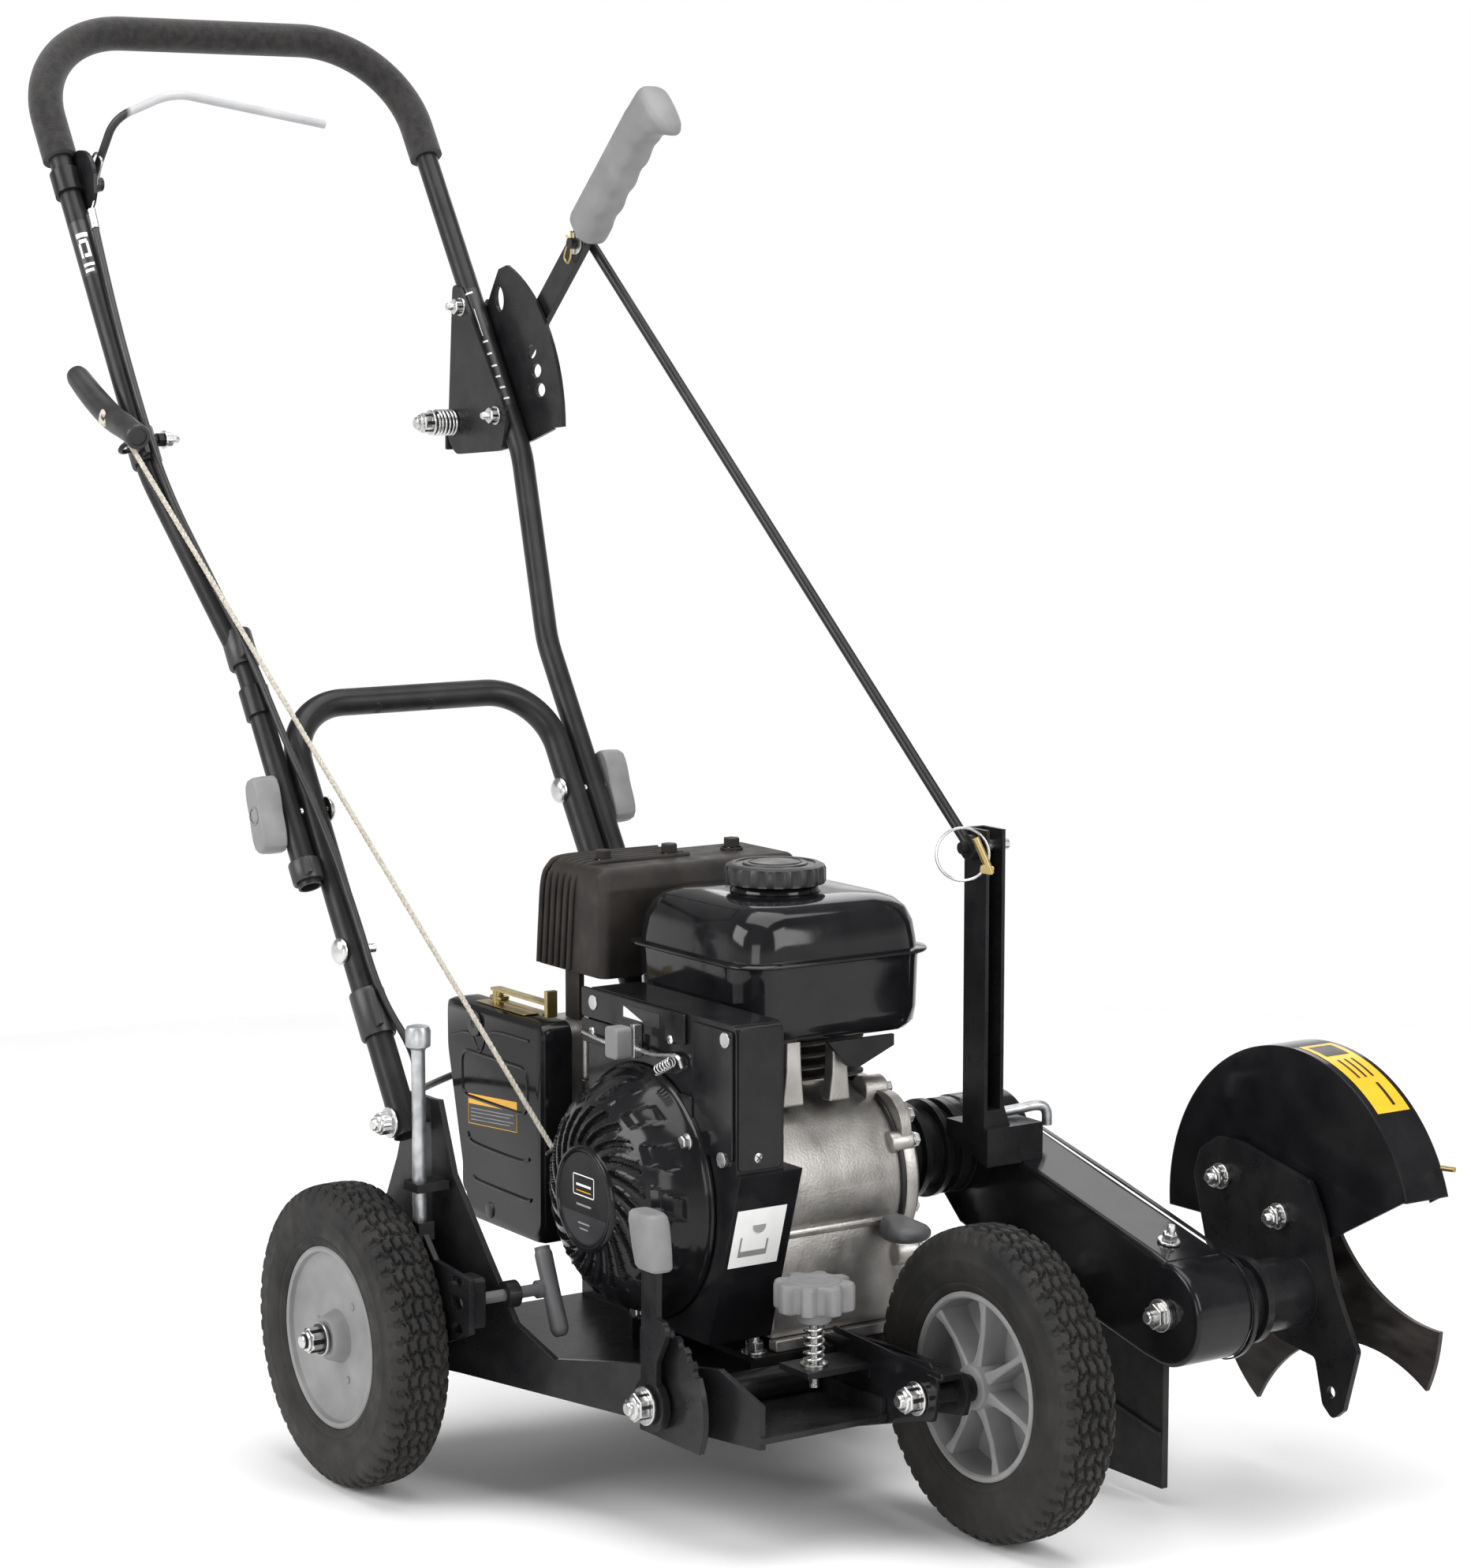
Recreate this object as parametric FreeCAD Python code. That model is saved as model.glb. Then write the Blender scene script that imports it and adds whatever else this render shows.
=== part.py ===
import FreeCAD, Part
import os, math

# Walk-behind petrol lawn edger. Millimetres, +X forward, +Y to the operator's left, +Z up.
# Working frame: X from the rear axle, Y from the middle of the machine, Z from the ground.
# At the end everything is moved so that the origin is the bottom centre of the whole box.

V = FreeCAD.Vector
os.makedirs("parts", exist_ok=True)

# ---------------------------------------------------------------- driving dimensions
WHEEL_R = 101.6          # 8 inch wheels
WHEEL_W = 44.0
RIM_R = 61.0
REAR_R_Y = -162.0        # right rear wheel centre plane (curb wheel)
REAR_L_Y = 195.0             # left rear wheel centre plane
FRONT_X, FRONT_Y = 332.0, 123.0
CRANK_X, CRANK_Z = 132.0, 206.0
SPIN_X, SPIN_Z = 363.0, 136.0
CASE_Y0, CASE_Y1 = 235.0, 283.0
BLADE_R, BLADE_Y, BLADE_T = 111.0, 374.0, 3.2
GUARD_Y0, GUARD_Y1 = 355.0, 392.0
LEAN = 0.6346            # handle lean, X per Z
KNOB_X, KNOB_Z = -100.0, 440.0
LOW_D, UP_D, GRIP_D = 19.0, 16.4, 25.0
LOW_YL, LOW_YR = -133.5, 73.0
UPLO_YL, UPLO_YR = -152.0, 91.5
UPHI_YL, UPHI_YR = -183.0, 121.0
HANDLE_Z = 981.0
ARM_X, ARM_Z = 226.0, 93.0        # front arm pivot axis
LEVER_X, LEVER_Z = -330.0, 693.0  # depth lever pivot axis
LIFT_X, LIFT_Z, LIFT_Y = 198.0, 424.0, 206.0
ROD_X, ROD_Z = -190.0, 826.0      # rod pin on the depth lever

P = {}

def put(name, *shapes):
    s = [x for x in shapes]
    if len(s) == 1:
        sh = s[0]
    else:
        sh = Part.makeCompound(s)
    P[name] = sh
    return sh

def H(y, z, off=0.0):
    """Point on the handle plane, pushed 'off' along the plane's forward normal."""
    n = 1.0 / math.sqrt(1 + LEAN * LEAN)
    return V(KNOB_X - LEAN * (z - KNOB_Z) + off * n, y, z + off * LEAN * n)

def cyl(p, d, r, h):
    return Part.makeCylinder(r, h, V(*p), V(*d))

def cyly(x, z, y0, y1, r):
    return Part.makeCylinder(r, y1 - y0, V(x, y0, z), V(0, 1, 0))

def cylz(x, y, z0, z1, r):
    return Part.makeCylinder(r, z1 - z0, V(x, y, z0), V(0, 0, 1))

def cylx(y, z, x0, x1, r):
    return Part.makeCylinder(r, x1 - x0, V(x0, y, z), V(1, 0, 0))

def coney(x, z, y0, y1, r0, r1):
    return Part.makeCone(r0, r1, y1 - y0, V(x, y0, z), V(0, 1, 0))

def box(x0, x1, y0, y1, z0, z1):
    return Part.makeBox(x1 - x0, y1 - y0, z1 - z0, V(x0, y0, z0))

def poly_y(pts, y0, y1):
    w = Part.makePolygon([V(x, y0, z) for x, z in pts] + [V(pts[0][0], y0, pts[0][1])])
    return Part.Face(w).extrude(V(0, y1 - y0, 0))

def poly_z(pts, z0, z1):
    w = Part.makePolygon([V(x, y, z0) for x, y in pts] + [V(pts[0][0], pts[0][1], z0)])
    return Part.Face(w).extrude(V(0, 0, z1 - z0))

def poly_x(pts, x0, x1):
    w = Part.makePolygon([V(x0, y, z) for y, z in pts] + [V(x0, pts[0][0], pts[0][1])])
    return Part.Face(w).extrude(V(x1 - x0, 0, 0))

def hexy(x, z, y0, y1, af, turn=0.0):
    r = af / 2 / math.cos(math.pi / 6)
    pts = [(x + r * math.cos(math.radians(60 * i + turn)), z + r * math.sin(math.radians(60 * i + turn))) for i in range(6)]
    return poly_y(pts, y0, y1)

def rnd_rect(x0, x1, z0, z1, r):
    """Rounded rectangle as a wire in XZ at y=0."""
    e = []
    def L(a, b):
        e.append(Part.LineSegment(V(a[0], 0, a[1]), V(b[0], 0, b[1])).toShape())
    def A(a, m, b):
        e.append(Part.Arc(V(a[0], 0, a[1]), V(m[0], 0, m[1]), V(b[0], 0, b[1])).toShape())
    k = r * (1 - math.sqrt(0.5))
    L((x0 + r, z0), (x1 - r, z0)); A((x1 - r, z0), (x1 - k, z0 + k), (x1, z0 + r))
    L((x1, z0 + r), (x1, z1 - r)); A((x1, z1 - r), (x1 - k, z1 - k), (x1 - r, z1))
    L((x1 - r, z1), (x0 + r, z1)); A((x0 + r, z1), (x0 + k, z1 - k), (x0, z1 - r))
    L((x0, z1 - r), (x0, z0 + r)); A((x0, z0 + r), (x0 + k, z0 + k), (x0 + r, z0))
    return Part.Wire(e)

def rbox_y(x0, x1, y0, y1, z0, z1, r):
    w = rnd_rect(x0, x1, z0, z1, r)
    w.translate(V(0, y0, 0))
    return Part.Face(w).extrude(V(0, y1 - y0, 0))

def rbox_z(x0, x1, y0, y1, z0, z1, r):
    w = rnd_rect(x0, x1, y0, y1, r)
    w.rotate(V(0, 0, 0), V(1, 0, 0), 90)      # (x,0,z) -> (x,-z,0)
    s = Part.Face(w).extrude(V(0, 0, z1 - z0))
    s.translate(V(0, 0, z0))
    bb = s.BoundBox
    s.translate(V(0, y0 - bb.YMin, z0 - bb.ZMin))
    return s

def fil(s, r, test=None):
    es = [e for e in s.Edges if test is None or test(e)]
    try:
        f = s.makeFillet(r, es)
        if f.isValid() and f.Volume > 0:
            return f
    except Exception:
        pass
    return s

def path(pts, radii):
    """Straight runs joined by tangent arcs. Returns wire."""
    pts = [V(*p) if not isinstance(p, FreeCAD.Vector) else p for p in pts]
    n = len(pts)
    if not hasattr(radii, "__len__"):
        radii = [radii] * (n - 2)
    e, cur = [], pts[0]
    for i in range(1, n - 1):
        a = (pts[i] - pts[i - 1]).normalize()
        b = (pts[i + 1] - pts[i]).normalize()
        turn = math.acos(max(-1, min(1, a.dot(b))))
        r = radii[i - 1]
        t = r * math.tan(turn / 2)
        p0 = pts[i] - a * t
        p1 = pts[i] + b * t
        bis = (b - a).normalize()
        c = pts[i] + bis * (r / math.cos(turn / 2))
        m = c - bis * r
        if (p0 - cur).Length > 1e-4:
            e.append(Part.LineSegment(cur, p0).toShape())
        e.append(Part.Arc(p0, m, p1).toShape())
        cur = p1
    e.append(Part.LineSegment(cur, pts[-1]).toShape())
    return Part.Wire(e)

def auto_radii(pts):
    out = []
    for i in range(1, len(pts) - 1):
        a = V(*pts[i]) - V(*pts[i - 1]); b = V(*pts[i + 1]) - V(*pts[i])
        turn = a.getAngle(b)
        out.append(0.45 * min(a.Length, b.Length) / math.tan(turn / 2))
    return out

def sweep(w, start, direction, r):
    prof = Part.Wire([Part.makeCircle(r, start, direction)])
    s = w.makePipeShell([prof], True, False)
    return s if s.ShapeType == "Solid" else Part.Solid(s)

def tube(pts, radii, od, idia=0.0):
    pts = [V(*p) if not isinstance(p, FreeCAD.Vector) else p for p in pts]
    d = (pts[1] - pts[0]).normalize()
    w = path(pts, radii)
    s = sweep(w, pts[0], d, od / 2)
    if idia:
        s = s.cut(sweep(path(pts, radii), pts[0], d, idia / 2))
    return s

def rev_y(profile, x, z):
    """profile: list of (radius, y) closed polygon, turned about the Y axis through x, z."""
    w = Part.makePolygon([V(x + r, y, z) for r, y in profile] + [V(x + profile[0][0], profile[0][1], z)])
    return Part.Face(w).revolve(V(x, 0, z), V(0, 1, 0), 360)

def slot_y(x0, z0, x1, z1, y0, y1, r):
    """Round-ended bar in XZ, extruded along Y."""
    a = math.atan2(z1 - z0, x1 - x0)
    nx, nz = -math.sin(a) * r, math.cos(a) * r
    tx, tz = math.cos(a) * r, math.sin(a) * r
    p = lambda x, z: V(x, y0, z)
    e = [Part.LineSegment(p(x0 + nx, z0 + nz), p(x1 + nx, z1 + nz)).toShape(),
         Part.Arc(p(x1 + nx, z1 + nz), p(x1 + tx, z1 + tz), p(x1 - nx, z1 - nz)).toShape(),
         Part.LineSegment(p(x1 - nx, z1 - nz), p(x0 - nx, z0 - nz)).toShape(),
         Part.Arc(p(x0 - nx, z0 - nz), p(x0 - tx, z0 - tz), p(x0 + nx, z0 + nz)).toShape()]
    return Part.Face(Part.Wire(e)).extrude(V(0, y1 - y0, 0))

# ---------------------------------------------------------------- wheels
def wheel(x, y, side, spoked, tag, bore):
    """side = -1: outer face towards -Y."""
    hw = WHEEL_W / 2
    tyre = rev_y([(RIM_R, y - 16), (RIM_R + 3, y - 19), (74, y - hw), (90, y - hw), (97, y - 18.5), (WHEEL_R, y - 12),
                  (WHEEL_R, y + 12), (97, y + 18.5), (90, y + hw), (74, y + hw), (RIM_R + 3, y + 19), (RIM_R, y + 16)], x, WHEEL_R)
    rim = rev_y([(RIM_R - 3.5, y - 18), (RIM_R, y - 18), (RIM_R, y - 15.9), (RIM_R, y + 15.9), (RIM_R, y + 18), (RIM_R - 3.5, y + 18)], x, WHEEL_R)
    hub = cyly(x, WHEEL_R, y - 21, y + 21, 13.0)
    if spoked:
        body = rim.fuse(hub)
        for k in range(6):
            a = math.radians(90 + 60 * k)
            sp = box(11.5, RIM_R - 2.5, y - 12, y + 12, -2.0, 2.0)
            sp.rotate(V(0, 0, 0), V(0, 1, 0), -math.degrees(a))
            sp.translate(V(x, 0, WHEEL_R))
            body = body.fuse(sp)
        web = rev_y([(12.5, y + 2), (RIM_R - 3, y + 6), (RIM_R - 3, y + 9), (12.5, y + 5)], x, WHEEL_R)
        body = body.fuse(web)
    else:
        s = side
        web = rev_y([(12.5, y + s * 4), (30, y + s * 6), (RIM_R - 3, y + s * 11), (RIM_R - 3, y + s * 8), (30, y + s * 3), (12.5, y + s * 1)], x, WHEEL_R)
        body = rim.fuse(hub).fuse(web)
    body = body.cut(cyly(x, WHEEL_R, y - 30, y + 30, bore))
    put("wheel_rim_" + tag, body.removeSplitter())
    put("tyre_" + tag, tyre)

AXLE_R = 6.0
wheel(0, REAR_R_Y, -1, False, "rear_right", AXLE_R + 0.05)
wheel(0, REAR_L_Y, 1, False, "rear_left", AXLE_R + 0.05)
wheel(FRONT_X, FRONT_Y, -1, True, "front", AXLE_R + 0.05)

def axle_y(x, z, ya, yb, nut_y, sgn):
    """Stub axle from ya (welded end) to yb with a flange nut at the far end."""
    lo, hi = min(ya, yb), max(ya, yb)
    return cyly(x, z, lo, hi, AXLE_R)

# curb wheel carrier: plate outboard of the frame, its stub axle, flange nut; moves up and down
cp_y0, cp_y1 = -136.0, -132.0
car = poly_y([(-16, 86), (16, 86), (76, 108), (112, 122), (112, 158), (66, 162), (44, 184), (18, 184), (-8, 150), (-16, 110)], cp_y0, cp_y1)
for hz in (123, 140, 154):
    car = car.cut(slot_y(93, hz, 99, hz, cp_y0 - 1, cp_y1 + 1, 4.4 if hz == 140 else 3.4))
ax = cyly(0, WHEEL_R, -189, cp_y0 + 0.0, AXLE_R)
col = cyly(0, WHEEL_R, -140.6, cp_y0, 9.0)
nut = hexy(0, WHEEL_R, -195, -187.0, 15).fuse(cyly(0, WHEEL_R, -187.0, -185.2, 10.5)).fuse(cyly(0, WHEEL_R, -199, -194, 5.0))
car = car.fuse([col, ax, nut]).removeSplitter()
CRX, CRY, CRR = 42.4, -133.2, 4.5        # curb rod
lug = box(33, 52, -139.2, -127.5, 172, 184)
car = car.fuse(lug).cut(cylz(CRX, CRY, 166, 200, CRR)).removeSplitter()
rod = cylz(CRX, CRY, 166, 303, CRR)
cap = fil(cylz(CRX, CRY, 303, 314, 7.5), 3.0, lambda e: e.BoundBox.ZMin > 313)
put("curb_wheel_carrier", car, rod.fuse(cap))

# ---------------------------------------------------------------- frame
# Right side plate: straight behind, bends inwards towards the front pivot.
def side_plate(y_rear, y_front, t, sgn):
    pts = [(-62, 82), (300, 76), (300, 104), (268, 122), (190, 112), (136, 104), (104, 122), (80, 164), (52, 214), (40, 262), (4, 262), (-14, 214), (-48, 150), (-62, 118)]
    return pts
outline = side_plate(0, 0, 0, 0)
slab = poly_y(outline, -200, 200)
def bent(y_rear, y_front, t):
    plan = [(-80, y_rear), (34, y_rear), (302, y_front), (302, y_front + t), (34, y_rear + t), (-80, y_rear + t)]
    return poly_z(plan, 40, 300)
FR_Y0, FR_Y1 = -119.0, -36.0
right_plate = slab.common(bent(FR_Y0, FR_Y1, 4.0))
low_outline = [(-62, 78), (300, 66), (300, 112), (200, 118), (60, 118), (50, 150), (40, 262), (4, 262), (-14, 214), (-40, 118), (-62, 112)]
low_outline = [(x, max(z, 78)) for x, z in low_outline]
left_low = poly_y(low_outline, -200, 200).common(bent(56.0, 56.0, 4.0)).cut(box(244, 303, 50, 66, 94, 140)).cut(box(60.5, 216, 50, 66, 105, 130))
deck = poly_z([(-62, FR_Y0), (34, FR_Y0), (302, FR_Y1), (302, 60), (212, 60), (212, 160), (60, 160), (30, 169), (-30, 169), (-62, 142)], 80, 84)
# raised engine platform
plat = poly_y([(58, 82), (62, 82), (62, 101), (206, 101), (206, 82), (210, 82), (210, 105), (58, 105)], 20, 158)
front_cut = poly_y([(212, 64), (310, 60), (310, 83), (212, 83)], -64, 62)
wedge = poly_z([(212, -90), (302, -62), (302, 60), (212, 60)], 68, 72)
axle_l = cyly(0, WHEEL_R, 165, 219, AXLE_R)
lbr = poly_y([(-22, 78), (22, 78), (16, 116), (-16, 116)], 165, 169)
lnut = hexy(0, WHEEL_R, 220.2, 228, 15).fuse(cyly(0, WHEEL_R, 218.3, 220.2, 10.5)).fuse(cyly(0, WHEEL_R, 217, 232, 5.0))
lcol = cyly(0, WHEEL_R, 168, 173.6, 9.0)
# guide for the curb rod, on the outer face of the right plate
guide = box(33, 52, -140.0, -116.0, 204, 210)
pinboss = cyly(96, 140, -101.0, -92.0, 9.0)
# head pivot carrier behind the engine: bearing plate on the left, with a boss round the crank axis
frame = right_plate.fuse([left_low, deck, plat, axle_l, lbr, lnut, lcol, pinboss])
frame = frame.fuse(guide)
frame = frame.cut(cylz(CRX, CRY, 190, 230, CRR + 0.3))
frame = frame.cut(cyly(96, 140, -130, -85, 4.05))
# clearance holes for handle bolts and the front pivot bolt
frame = frame.cut(cyly(22, 247, -130, 70, 4.1))
frame = frame.cut(cyly(ARM_X, ARM_Z, -120, 100, 10.3))
QY = -63.0
# notched height quadrant, bolted to the right plate near the pivot
q = cyly(ARM_X, ARM_Z, QY, QY + 4, 50).cut(box(ARM_X - 60, ARM_X - 24, -70, -40, 0, 300)).cut(box(0, 400, -70, -40, 0, 70))
for a in range(35, 140, 13):
    q = q.cut(cyly(ARM_X + 50 * math.cos(math.radians(a)), ARM_Z + 50 * math.sin(math.radians(a)), -70, -50, 3.2))
q = q.cut(cyly(ARM_X, ARM_Z, -70, -50, 10.3))
frame = frame.fuse([q, cyly(ARM_X, ARM_Z, QY + 2, QY + 12, 16.0)])
frame = frame.cut(cyly(ARM_X, ARM_Z, -120, 100, 10.3))
put("frame", frame.removeSplitter())

# ---------------------------------------------------------------- front arm, height lever
fa = cyly(ARM_X, ARM_Z, -66.0, 66.0, 10.0)
arm_out = [(ARM_X - 11, ARM_Z - 12), (ARM_X + 40, ARM_Z - 17), (FRONT_X + 12, WHEEL_R - 13), (FRONT_X + 16, WHEEL_R), (FRONT_X + 10, WHEEL_R + 13), (ARM_X + 40, ARM_Z + 23), (ARM_X - 11, ARM_Z + 20)]
a1 = poly_y(arm_out, 62.8, 66.8)
a2 = poly_y(arm_out, 88.0, 92.0)
atop = poly_y([(ARM_X + 20, ARM_Z + 16), (FRONT_X + 8, WHEEL_R + 9.6), (FRONT_X + 8, WHEEL_R + 13.2), (ARM_X + 20, ARM_Z + 20)], 62.8, 92.0)
aback = box(ARM_X + 17, ARM_X + 21, 62.8, 92, ARM_Z - 14, ARM_Z + 20)
lt = cyly(ARM_X, ARM_Z, 60.5, 92.0, 12.0)
fax = cyly(FRONT_X, WHEEL_R, 60, 149, AXLE_R)
fnut = hexy(FRONT_X, WHEEL_R, 52, 60, 15, 10).fuse(cyly(FRONT_X, WHEEL_R, 60, 62.8, 10.5))
fnut2 = hexy(FRONT_X, WHEEL_R, 146.3, 153, 15)
fcol = cyly(FRONT_X, WHEEL_R, 92, 101.6, 9)
kb = box(ARM_X + 24, ARM_X + 56, 12, 63, ARM_Z + 16, ARM_Z + 20).fuse(box(ARM_X + 24, ARM_X + 56, 60, 63, ARM_Z + 10, ARM_Z + 20))
arm = fa.fuse([a1, a2, atop, aback, lt, fax, fnut, fnut2, fcol, kb]).cut(cyly(ARM_X, ARM_Z, -80, 95, 5.0))
arm = arm.cut(cylz(ARM_X + 40, 28, 90, 130, 3.25))
put("front_arm", arm.removeSplitter(), cyly(ARM_X, ARM_Z, -84, 96, 4.98).fuse([hexy(ARM_X, ARM_Z, -82, -74.3, 16, 12), cyly(ARM_X, ARM_Z, -74.3, -72.1, 12), hexy(ARM_X, ARM_Z, 92, 99, 16)]))
hl = slot_y(ARM_X, ARM_Z, ARM_X + 2, 205, -72.0, -68.0, 9.0).fuse(cyly(ARM_X, ARM_Z, -72, -66.0, 17)).fuse(slot_y(ARM_X + 4, ARM_Z + 36, ARM_X + 12, ARM_Z + 50, -72, -68, 8))
hl = hl.cut(cyly(ARM_X, ARM_Z, -95, -60, 5.0))
put("height_lever", hl.removeSplitter())
hg = fil(box(ARM_X - 14, ARM_X + 15, -79, -61, 186, 236), 6.0)
hg = hg.cut(slot_y(ARM_X, ARM_Z, ARM_X + 2, 205, -72.05, -67.95, 9.05))
put("height_lever_grip", hg)
# star knob on its screw
kx, ky = ARM_X + 40, 28.0
star = cylz(kx, ky, 150, 168, 20)
for k in range(8):
    a = math.radians(45 * k)
    star = star.fuse(cylz(kx + 20 * math.cos(a), ky + 20 * math.sin(a), 150, 168, 6.6))
star = star.fuse(cylz(kx, ky, 142, 150, 10)).fuse(cylz(kx, ky, 98, 150, 3.2))
put("star_knob", star.removeSplitter())

# pull pin with T handle
pin = cyly(96, 140, -131.5, -68, 4.0)
tb = cyl((88, -67, 166), (24 / 59.9, 0, -55 / 60.0), 5.2, 58)
put("pull_pin", pin.fuse(tb).fuse(cyly(96, 140, -76, -62, 6)).removeSplitter())

# ---------------------------------------------------------------- handles
RB = 46.0
loop_pts = [H(LOW_YL, 238), H(LOW_YL, 508), H(LOW_YR, 508), H(LOW_YR, 238)]
lower = tube(loop_pts, RB, LOW_D, LOW_D - 3.2)
for y in (LOW_YL, LOW_YR):
    lower = lower.cut(cyly(KNOB_X, KNOB_Z, y - 15, y + 15, 3.5))
    p = H(y, 247); lower = lower.cut(cyly(p.x, p.z, y - 15, y + 15, 3.6))
    p = H(y, 352); lower = lower.cut(cyly(p.x, p.z, y - 15, y + 15, 3.6))
put("lower_handle", lower)
up_pts = [H(UPLO_YL, 393), H(UPLO_YL, 534), H(UPHI_YL, 664), H(UPHI_YL, HANDLE_Z), H(UPHI_YR, HANDLE_Z), H(UPHI_YR, 672), H(UPLO_YR, 540), H(UPLO_YR, 393)]
UR = [110, 110, 78, 78, 110, 110]
upper = tube(up_pts, UR, UP_D, UP_D - 3.0)
for y in (UPLO_YL, UPLO_YR):
    upper = upper.cut(cyly(KNOB_X, KNOB_Z, y - 15, y + 15, 3.5))
qz1, qz2 = 780.0, 700.0
for z in (qz1, qz2):
    p = H(UPHI_YR, z); upper = upper.cut(cyly(p.x, p.z, UPHI_YR - 15, UPHI_YR + 15, 3.1))
put("upper_handle", upper)
grip_pts = [H(UPHI_YL, 886), H(UPHI_YL, HANDLE_Z), H(UPHI_YR, HANDLE_Z), H(UPHI_YR, 893)]
put("foam_grip", tube(grip_pts, 78, GRIP_D, UP_D + 0.02))

fast = []
def carriage(y_in, y_out, x, z, sgn, r=3.2):
    lo, hi = min(y_in, y_out), max(y_in, y_out)
    b = cyly(x, z, lo, hi, r)
    head = Part.makeSphere(8.6, V(x, y_in + sgn * 4.2, z)).common(box(x - 20, x + 20, min(y_in, y_in - sgn * 5), max(y_in, y_in - sgn * 5), z - 20, z + 20))
    return b.fuse(head)
# fold bolts (head inside, knob outside)
fast.append(carriage(LOW_YL + LOW_D / 2 + 0.3, UPLO_YL - UP_D / 2 - 12, KNOB_X, KNOB_Z, -1))
fast.append(carriage(LOW_YR - LOW_D / 2 - 0.3, UPLO_YR + UP_D / 2 + 12, KNOB_X, KNOB_Z, 1))
for y, ys, sg in ((LOW_YL, -115.0, -1), (LOW_YR, 56.0, 1)):
    p = H(y, 247)
    out = y + sg * (LOW_D / 2 + 0.3)
    b = cyly(p.x, p.z, min(out + sg * 13, ys - sg * 6), max(out + sg * 13, ys - sg * 6), 3.3)
    h1 = hexy(p.x, p.z, *sorted((out + sg * 2.0, out + sg * 9)), 13)
    w1 = cyly(p.x, p.z, *sorted((out, out + sg * 2.0)), 9)
    h2 = hexy(p.x, p.z, *sorted((ys - sg * 0.3, ys - sg * 5)), 11)
    fast.append(b.fuse([h1, w1, h2]))
    p = H(y, 352)
    if sg < 0:
        fast.append(carriage(out, y + LOW_D / 2 + 6, p.x, p.z, 1, 3.2))

# wing knobs
def wing(y0, y1, tilt):
    w = fil(box(-11, 11, 0, y1 - y0, -27, 27), 4.5)
    w = w.cut(cyly(0, 0, -1, y1 - y0 + 1, 3.25))
    w.rotate(V(0, 0, 0), V(0, 1, 0), tilt)
    w.translate(V(KNOB_X, y0, KNOB_Z))
    return w
put("wing_knob_right", wing(UPLO_YL - UP_D / 2 - 18.3, UPLO_YL - UP_D / 2 - 0.3, -18))
put("wing_knob_left", wing(UPLO_YR + UP_D / 2 + 0.3, UPLO_YR + UP_D / 2 + 18.3, -22))

# quadrant plate on the left upper tube (outer side), with lock slots round the lever pivot
qy0 = UPHI_YR + UP_D / 2 + 0.2
qpts = [(-352, 680), (-330, 672), (-300, 674), (-256, 682), (-216, 702), (-203, 728), (-212, 762), (-236, 788), (-270, 808), (-290, 808), (-306, 790), (-350, 712)]
qp = poly_y(qpts, qy0, qy0 + 3.0)
qp = fil(qp, 8.0, lambda e: abs(e.BoundBox.YLength - 3.0) < 0.01)
SLOT_R = 108.0
for a, rr in ((56.5, 9.0), (45.0, 5.6), (33.5, 5.2), (28.0, 5.2), (22.5, 5.2)):
    ar = math.radians(a)
    cx, cz = LEVER_X + SLOT_R * math.cos(ar), LEVER_Z + SLOT_R * math.sin(ar)
    dx, dz = 4 * math.cos(ar), 4 * math.sin(ar)
    if a in (45.0,):
        continue
    qp = qp.cut(slot_y(cx - dx, cz - dz, cx + dx, cz + dz, qy0 - 1, qy0 + 5, rr - 2.4))
# the lock peg runs in one arc-shaped window
arcw = cyly(LEVER_X, LEVER_Z, qy0 - 1, qy0 + 5, SLOT_R - 16).cut(cyly(LEVER_X, LEVER_Z, qy0 - 2, qy0 + 6, SLOT_R - 27))
qp = qp.cut(cyly(LEVER_X, LEVER_Z, qy0 - 1, qy0 + 5, 5.05))
for z in (qz1, qz2):
    p = H(UPHI_YR, z); qp = qp.cut(cyly(p.x, p.z, qy0 - 1, qy0 + 5, 3.1))
# inner wing of the bracket on the operator side of the tube
ip = poly_y([(-346, 676), (-330, 670), (-258, 674), (-250, 700), (-322, 796), (-342, 796)], UPHI_YR - UP_D / 2 - 3.2, UPHI_YR - UP_D / 2 - 0.2)
for z in (qz1, qz2):
    p = H(UPHI_YR, z); ip = ip.cut(cyly(p.x, p.z, 90, 125, 3.1))
ip = ip.cut(cyly(LEVER_X, LEVER_Z, 90, 125, 5.05))
bridge = box(-352, -349, UPHI_YR - UP_D / 2 - 3.2, qy0 + 3.0, 681, 700)
ip = ip.fuse(box(-352, -345, UPHI_YR - UP_D / 2 - 3.2, UPHI_YR - UP_D / 2 - 0.2, 681, 700))
qp = qp.fuse(bridge).fuse(ip)
put("depth_quadrant", qp.removeSplitter())
lev_y0 = qy0 + 3.0 + 2.0
qb = []
for z in (qz1, qz2):
    p = H(UPHI_YR, z)
    qb.append(cyly(p.x, p.z, UPHI_YR - 17, qy0 + 4.5, 3.0).fuse([hexy(p.x, p.z, UPHI_YR - 17, UPHI_YR - UP_D / 2 - 3.3, 10), cyly(p.x, p.z, qy0 + 3.1, qy0 + 4.5, 5.6)]))
pv = cyly(LEVER_X, LEVER_Z, UPHI_YR - 38, lev_y0 + 10, 5.0)
pv = pv.fuse([hexy(LEVER_X, LEVER_Z, UPHI_YR - 37, UPHI_YR - 30, 13), cyly(LEVER_X, LEVER_Z, UPHI_YR - 30, UPHI_YR - 28, 9), hexy(LEVER_X, LEVER_Z, lev_y0 + 5.5, lev_y0 + 10, 13)])
qb.append(pv)
qb.append(cyly(LEVER_X, LEVER_Z, UPHI_YR - 27.8, UPHI_YR - UP_D / 2 - 3.4, 8.0).cut(cyly(LEVER_X, LEVER_Z, 60, 125, 5.3)))

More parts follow.
